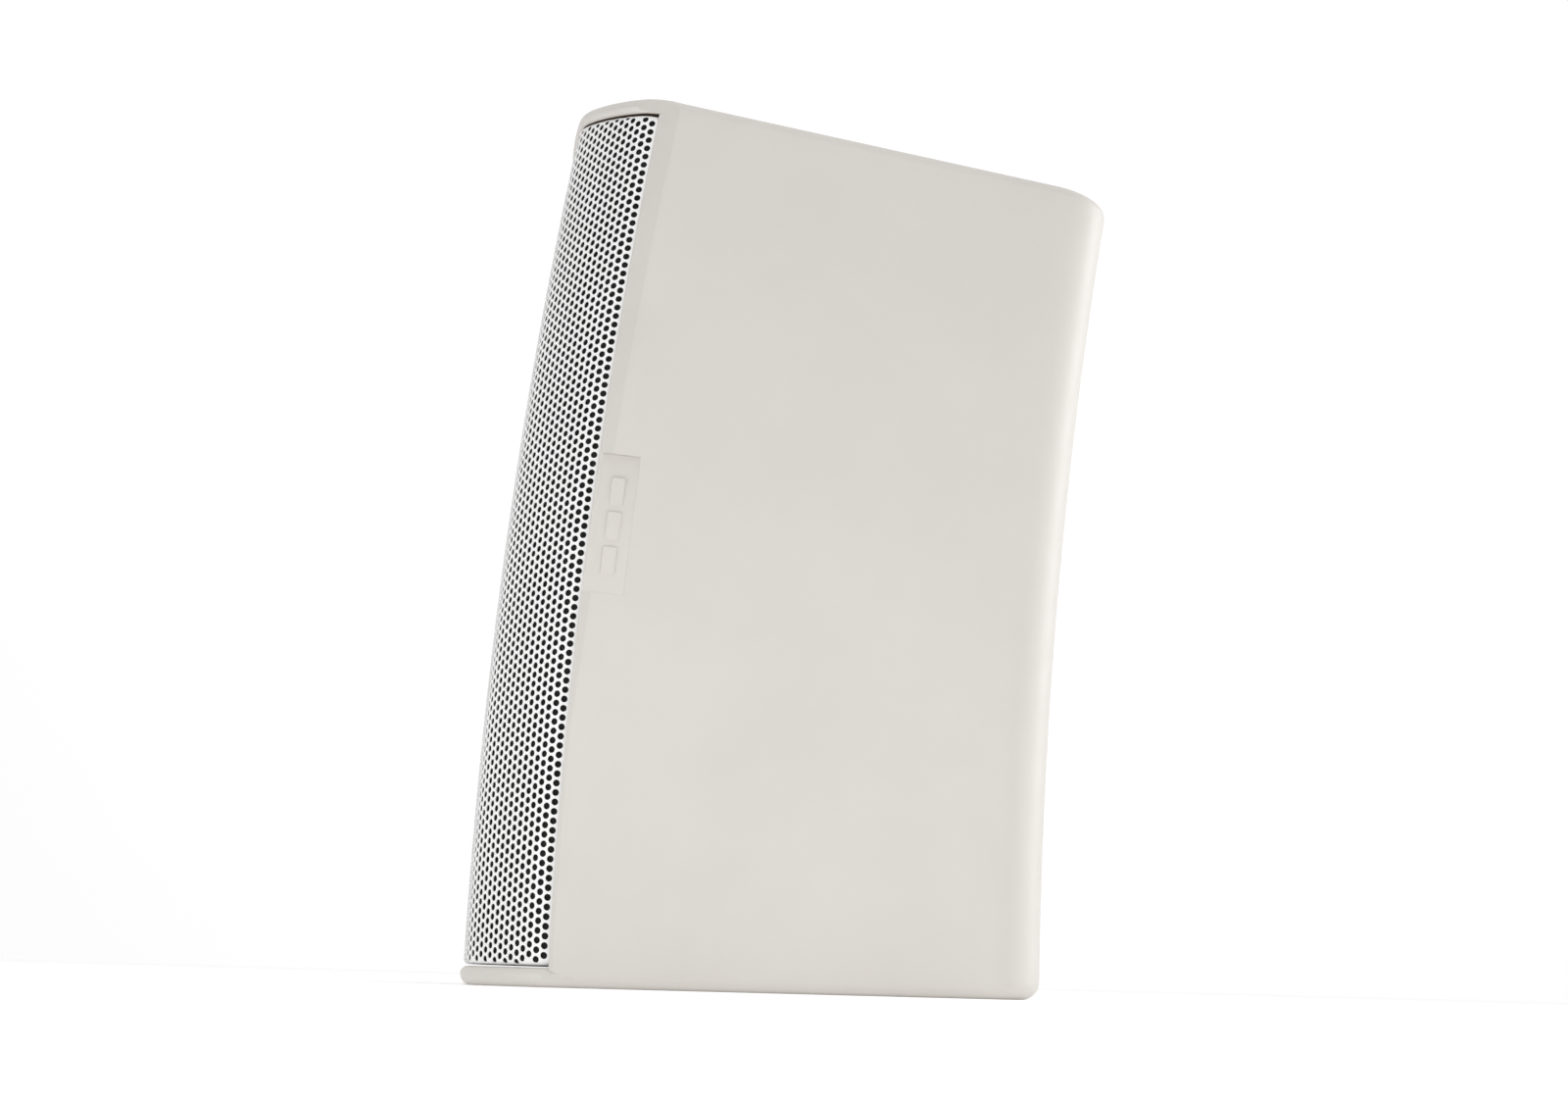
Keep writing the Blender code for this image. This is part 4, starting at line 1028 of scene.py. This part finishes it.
# slot: (darkest, lightest, smoothest, roughest, metallic, grain per metre, bump strength, bump height)
FINISHES = {
    "foam": ((0.004, 0.004, 0.004), (0.016, 0.016, 0.016), 0.90, 1.00, 0.0, 1400.0, 0.60, 0.00030),
    "black_plastic": ((0.018, 0.018, 0.019), (0.024, 0.024, 0.025), 0.48, 0.60, 0.0, 1900.0, 0.30, 0.00008),
    "red_plastic": ((0.46, 0.018, 0.016), (0.54, 0.024, 0.022), 0.34, 0.46, 0.0, 1500.0, 0.12, 0.00005),
    "basket": ((0.030, 0.030, 0.032), (0.042, 0.042, 0.044), 0.38, 0.52, 0.0, 900.0, 0.25, 0.00010),
    "rubber": ((0.012, 0.012, 0.013), (0.020, 0.020, 0.021), 0.52, 0.70, 0.0, 1200.0, 0.20, 0.00006),
    "cone": ((0.048, 0.048, 0.051), (0.064, 0.064, 0.067), 0.58, 0.74, 0.0, 700.0, 0.30, 0.00012),
    "steel": ((0.42, 0.42, 0.43), (0.52, 0.52, 0.52), 0.26, 0.44, 1.0, 600.0, 0.12, 0.00004),
    "ferrite": ((0.028, 0.028, 0.030), (0.045, 0.045, 0.047), 0.60, 0.80, 0.0, 800.0, 0.35, 0.00010),
    "brass": ((0.66, 0.49, 0.24), (0.78, 0.61, 0.33), 0.20, 0.38, 1.0, 900.0, 0.10, 0.00003),
    "board": ((0.022, 0.13, 0.055), (0.04, 0.19, 0.085), 0.38, 0.55, 0.0, 500.0, 0.15, 0.00005),
    "film": ((0.56, 0.37, 0.05), (0.66, 0.46, 0.08), 0.34, 0.50, 0.0, 300.0, 0.15, 0.00008),
    "resistor": ((0.66, 0.66, 0.64), (0.76, 0.76, 0.74), 0.62, 0.80, 0.0, 900.0, 0.40, 0.00010),
    "wadding": ((0.68, 0.68, 0.66), (0.84, 0.84, 0.82), 0.95, 1.00, 0.0, 350.0, 0.90, 0.00120),
    "screws": ((0.52, 0.52, 0.50), (0.64, 0.64, 0.62), 0.24, 0.40, 1.0, 1100.0, 0.10, 0.00003),
    # Painted shade: a dark brown on the lips' inner faces, standing in for the shade in the gap between lip
    # and grille
    "lip_gap_painted_shade": ((0.060, 0.038, 0.022), (0.090, 0.058, 0.034), 0.92, 1.00, 0.0, 1500.0, 0.60, 0.00020),
    # Painted shade: the holes' walls are dark so that the holes read dark through their depth
    "hole_wall_painted_shade": ((0.045, 0.045, 0.045), (0.065, 0.065, 0.065), 0.60, 0.75, 0.0, 1500.0, 0.15, 0.00004),
    "dial": ((0.72, 0.72, 0.70), (0.80, 0.80, 0.78), 0.45, 0.55, 0.0, 1500.0, 0.10, 0.00003),
}
# slot: (darkest, lightest, roughness, metallic, threads per metre, their directions, bump height)
WOVEN = {
    "silk": ((0.024, 0.024, 0.026), (0.036, 0.036, 0.038), 0.62, 0.0, 2200.0, "XY", 0.00005),
    "spider": ((0.46, 0.31, 0.09), (0.62, 0.44, 0.15), 0.86, 0.0, 1400.0, "XY", 0.00015),
    "winding": ((0.50, 0.19, 0.09), (0.72, 0.33, 0.17), 0.30, 1.0, 1300.0, "Z", 0.00020),
}
BAND_PERIOD = math.pi / 10  # of the wave texture at scale 1


def grained(name, dark, light, smooth, rough, metallic, grain, strength, height):
    look = Nodes(name, light, rough, Metallic=metallic)
    look.tint(look.ramp(look.noise(grain * 0.03, 4.0), 0.0, 1.0), dark, light)
    look.rough(look.noise(grain * 0.11), smooth, rough)
    coarse, fine = look.noise(grain * 0.05, 2.0), look.noise(grain, 2.0)
    look.bump((coarse, strength * 0.4, height), (fine, strength, height))
    return look.material


def woven(name, dark, light, rough, metallic, threads, directions, height):
    look = Nodes(name, light, rough, Metallic=metallic)
    layers = []
    for axis in directions:
        band = look.add("ShaderNodeTexWave", Scale=threads * BAND_PERIOD, bands_direction=axis)
        look.join(look.coords, band.inputs["Vector"])
        layers.append((band.outputs["Fac"], 0.6, height))
    look.tint(look.ramp(layers[0][0], 0.0, 1.0, 0.0, 1.0), dark, light)
    look.rough(look.noise(threads * 0.1), rough - 0.06, rough + 0.06)
    look.bump(*layers)
    return look.material


def dress(thing, material):
    thing.data.materials.clear()
    thing.data.materials.append(material)


# ---- camera, floor and light ----
# The surroundings' strength, and what each axis of the direction adds: (from, to, first, last)
WORLD_BASE = 0.64
WORLD_SLOPES = {"X": (-1.0, 0.0, 0.38, 0.0), "Y": (-1.0, 0.0, -0.12, 0.0), "Z": (0.0, 1.0, 0.0, 0.18)}
# name: place, target, size, power in watts
AREA_LIGHTS = {
    "low_front": ((0.42, -0.46, 0.03), (0.11, -0.10, 0.02), (0.22, 0.05), 0.42),
    "low_side": ((0.75, 0.25, 0.05), (0.12, 0.08, 0.04), (0.5, 0.1), 0.76),
    "rear_strip": ((-0.45, 1.5, 0.5), (0.1, 0.1, 0.2), (0.3, 1.2), 8.0),
    "rear_low": ((0.25, 1.2, 0.12), (0.1, 0.1, 0.08), (0.4, 0.3), 0.7),
    "overhead": ((0.4, 0.0, 2.2), (0.3, 0.0, 0.0), (2.0, 2.0), 9.0),
}
FLOOR_REACH = 6.0
CAMERA_PLACE = (1.1475, -0.0500, 0.0060)
CAMERA_TURN = math.radians(4.45)     # from looking along -X, towards +Y
CAMERA_RISE = math.radians(12.41)
CAMERA_ROLL = math.radians(1.57)
LENS_MM = 54.52
SENSOR_MM = 36.0
FRAME_SHIFT = (-0.0524, -0.0586)


def aim(thing, place, forward, roll=0.0):
    forward = forward.normalized()
    right = forward.cross(Vector((0, 0, 1))).normalized()
    up = right.cross(forward)
    turn = Matrix((right, up, -forward)).transposed()
    thing.matrix_world = Matrix.Translation(place) @ turn.to_4x4() @ Matrix.Rotation(roll, 4, 'Z')


def make_camera():
    data = bpy.data.cameras.new("camera")
    data.sensor_width = SENSOR_MM
    data.lens = LENS_MM
    data.shift_x, data.shift_y = FRAME_SHIFT
    data.clip_start = 0.02
    camera = link("camera", data)
    across, along = -math.cos(CAMERA_TURN), math.sin(CAMERA_TURN)
    level = math.cos(CAMERA_RISE)
    forward = Vector((across * level, along * level, math.sin(CAMERA_RISE)))
    aim(camera, Vector(CAMERA_PLACE), forward, CAMERA_ROLL)
    bpy.context.scene.camera = camera


def area_light(name, place, target, size, power):
    data = bpy.data.lights.new(name, 'AREA')
    data.shape = 'RECTANGLE'
    data.size, data.size_y = size
    data.energy = power
    light = link(name, data)
    aim(light, Vector(place), Vector(target) - Vector(place))


def make_studio():
    corners = [(x * FLOOR_REACH, y * FLOOR_REACH, 0) for x, y in ((-1, -1), (1, -1), (1, 1), (-1, 1))]
    floor = solid("floor", corners, [[0, 1, 2, 3]], smooth=False)
    look = Nodes("floor_white", (0.93, 0.93, 0.93), 0.9, Emission_Color=(1.0, 1.0, 1.0, 1.0),
                 Emission_Strength=0.19)
    look.tint(look.ramp(look.noise(3.0), 0.0, 1.0), (0.925, 0.925, 0.925), (0.935, 0.935, 0.935))
    dress(floor, look.material)
    world = bpy.data.worlds.new("studio")
    world.use_nodes = True
    tree = world.node_tree
    background = tree.nodes["Background"]
    coords = tree.nodes.new("ShaderNodeTexCoord")
    parts = tree.nodes.new("ShaderNodeSeparateXYZ")
    tree.links.new(coords.outputs["Generated"], parts.inputs["Vector"])
    total = None
    for axis, limits in WORLD_SLOPES.items():
        plus = tree.nodes.new("ShaderNodeMath")
        plus.operation = 'ADD'
        plus.inputs[0].default_value = WORLD_BASE
        if total is not None:
            tree.links.new(total, plus.inputs[0])
        tree.links.new(map_range(tree, parts.outputs[axis], limits), plus.inputs[1])
        total = plus.outputs[0]
    tree.links.new(total, background.inputs["Strength"])
    background.inputs["Color"].default_value = (1.0, 1.0, 1.0, 1.0)
    bpy.context.scene.world = world
    for name, settings in AREA_LIGHTS.items():
        area_light(name, *settings)


# ---- making ----
make_camera()
make_studio()
bpy.context.scene.view_settings.view_transform = 'Standard'

NODES_OF = {
    "foam": ["grille_cloth", "baffle_gasket", "woofer_gasket"],
    "badge": ["side_badge"],
    "black_plastic": ["front_baffle", "tweeter_waveguide", "port_tube_left", "port_tube_right",
                      "input_cup", "tap_switch", "selector_knob", "terminal_knob_black",
                      "tweeter_rear_cup"],
    "red_plastic": ["terminal_knob_red"],
    "basket": ["woofer_basket"],
    "rubber": ["woofer_surround"],
    "cone": ["woofer_cone", "woofer_dust_cap"],
    "silk": ["tweeter_dome"],
    "spider": ["woofer_spider"],
    "winding": ["woofer_voice_coil", "tweeter_voice_coil", "crossover_inductor", "transformer_winding"],
    "steel": ["woofer_front_plate", "woofer_pole_yoke", "tweeter_front_plate", "tweeter_pole_yoke",
              "transformer_core"],
    "ferrite": ["woofer_magnet", "tweeter_magnet"],
    "brass": ["terminal_post_red", "terminal_post_black", *INSERTS],
    "board": ["crossover_board"],
    "film": ["film_capacitor"],
    "resistor": ["power_resistor"],
    "wadding": ["acoustic_lining"],
    "screws": [f"{kind}_screw_{index}" for kind in ("woofer", "waveguide", "baffle", "plate")
               for index in (1, 2, 3, 4)],
    "shell": ["cabinet_shell"],
    "grille": ["grille"],
}
SLOT_OF = {node: slot for slot, nodes in NODES_OF.items() for node in nodes}
NODES_ON = {
    "woofer_motor": ["woofer_cone", "woofer_dust_cap", "woofer_voice_coil"],
    "tweeter_motor": ["tweeter_dome", "tweeter_voice_coil"],
    "grille_cover": ["grille", "grille_cloth"],
    "selector": ["selector_knob"],
    "terminal_red": ["terminal_knob_red"],
    "terminal_black": ["terminal_knob_black"],
}
BODY_OF = {node: body for body, nodes in NODES_ON.items() for node in nodes}
LOOKS = {slot: grained(slot, *values) for slot, values in FINISHES.items()}
LOOKS.update({slot: woven(slot, *values) for slot, values in WOVEN.items()})
LOOKS["shell"] = LOOKS["badge"] = shell_plastic("shell_plastic")
# The strip's look is the shell plastic darkened as painted shade
LOOKS["strip"] = shell_plastic("painted_shade_strip", STRIP_PAINTED_SHADE)
LOOKS["grille"] = grille_paint()
KEPT = set(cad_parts)


def put(thing, node, rides=True):
    """The piece stands for the CAD node, which is hidden: it takes the look of the node's slot and rides on
    the node's body.
    """
    dress(thing, LOOKS[SLOT_OF[node]])
    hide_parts(node)
    if rides:
        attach(thing, BODY_OF.get(node, "root"))
    KEPT.discard(node)


shell = make_shell()
put(shell, "cabinet_shell")
# The second and third materials are painted shade: the gap under the lips and the strip beside the grille
shell.data.materials.append(LOOKS["lip_gap_painted_shade"])
shell.data.materials.append(LOOKS["strip"])
mark_faces(shell)
grille = make_grille()
put(grille, "grille")
# Painted shade on the hole walls
grille.data.materials.append(LOOKS["hole_wall_painted_shade"])
put(make_liner(), "grille_cloth")
put(make_badge(), "side_badge")
put(make_baffle(), "front_baffle")
put(make_basket(), "woofer_basket")
put(make_guide(), "tweeter_waveguide")
place_screws()
put(make_input_cup(), "input_cup")
put(make_switch(), "tap_switch")
put(make_selector_knob(), "selector_knob")

# node, profile in millimetres, place, rounding in millimetres
SHAPES = (
    ("woofer_gasket", ring_profile(93.5, 96.0, 0.3, 1.3), WOOFER, 0.3),
    ("woofer_cone", CONE, WOOFER, 1.0),
    ("woofer_dust_cap", thickened(DUST_CAP, 0.8), WOOFER, 2.0),
    ("woofer_voice_coil", ring_profile(19.0, 19.9, -68.0, -35.0), WOOFER, 0.1),
    ("woofer_spider", spider_profile(), WOOFER, 0.6),
    ("woofer_front_plate", ring_profile(21.2, 48.0, -64.0, -58.0), WOOFER, 0.5),
    ("woofer_magnet", ring_profile(27.0, 55.0, -82.0, -64.3), WOOFER, 0.8),
    ("woofer_pole_yoke", WOOFER_YOKE, WOOFER, 0.5),
    ("tweeter_dome", thickened(DOME, 0.4), TWEETER, 1.2),
    ("tweeter_voice_coil", ring_profile(12.2, 12.6, -20.0, -15.4), TWEETER, 0.05),
    ("tweeter_front_plate", ring_profile(13.2, 31.0, -19.5, -16.5), TWEETER, 0.4),
    ("tweeter_magnet", ring_profile(15.0, 34.0, -31.0, -19.8), TWEETER, 0.8),
    ("tweeter_pole_yoke", TWEETER_YOKE, TWEETER, 0.4),
    ("tweeter_rear_cup", REAR_CUP, TWEETER, 0.8),
    ("port_tube_left", PORT, PORTS["left"], 0.8),
    ("port_tube_right", PORT, PORTS["right"], 0.8),
)
for node, profile, place, round_mm in SHAPES:
    put(turned(node + "_shape", profile, place, 128, round_mm), node)
POST = [(0, -9.0), (2.5, -9.0), (2.5, 0.3), (5.2, 0.3), (5.2, 2.3), (2.0, 2.3),
        *threaded(2.0, -0.22, 2.5, 19.3, 0.7), (2.0, 19.5), (0, 19.5)]
for colour, place in TERMINALS.items():
    put(turned(f"terminal_post_{colour}_shape", POST, place, 48, 0.08), f"terminal_post_{colour}")
    knob = turned(f"terminal_knob_{colour}_shape", TERMINAL_KNOB, place, 216, 0.3, 18, 0.45)
    put(knob, f"terminal_knob_{colour}")
TUBE = [(2.6, -9.8), (4.2, -9.8), (4.2, -0.4), (2.6, -0.4),
        *reversed(threaded(2.6, 0.3, -9.7, -0.5, 0.9))]
for node, place in INSERTS.items():
    put(turned(node + "_shape", TUBE, place, 48, 0.08), node)

surround = turned("surround_shape", SURROUND, WOOFER, 128, 1.2)
put(surround, "woofer_surround", rides=False)
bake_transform(surround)

# The dots have no node of their own; they take the dial look and ride on the root
dial = make_dial()
dress(dial, LOOKS["dial"])
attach(dial, "root")

# The CAD's own solids stay where nothing stands for them
for node in sorted(KEPT):
    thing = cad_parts[node]
    dress(thing, LOOKS[SLOT_OF[node]])
    edges = thing.modifiers.new("edges", 'BEVEL')
    edges.width = 0.0005
    edges.segments = 2
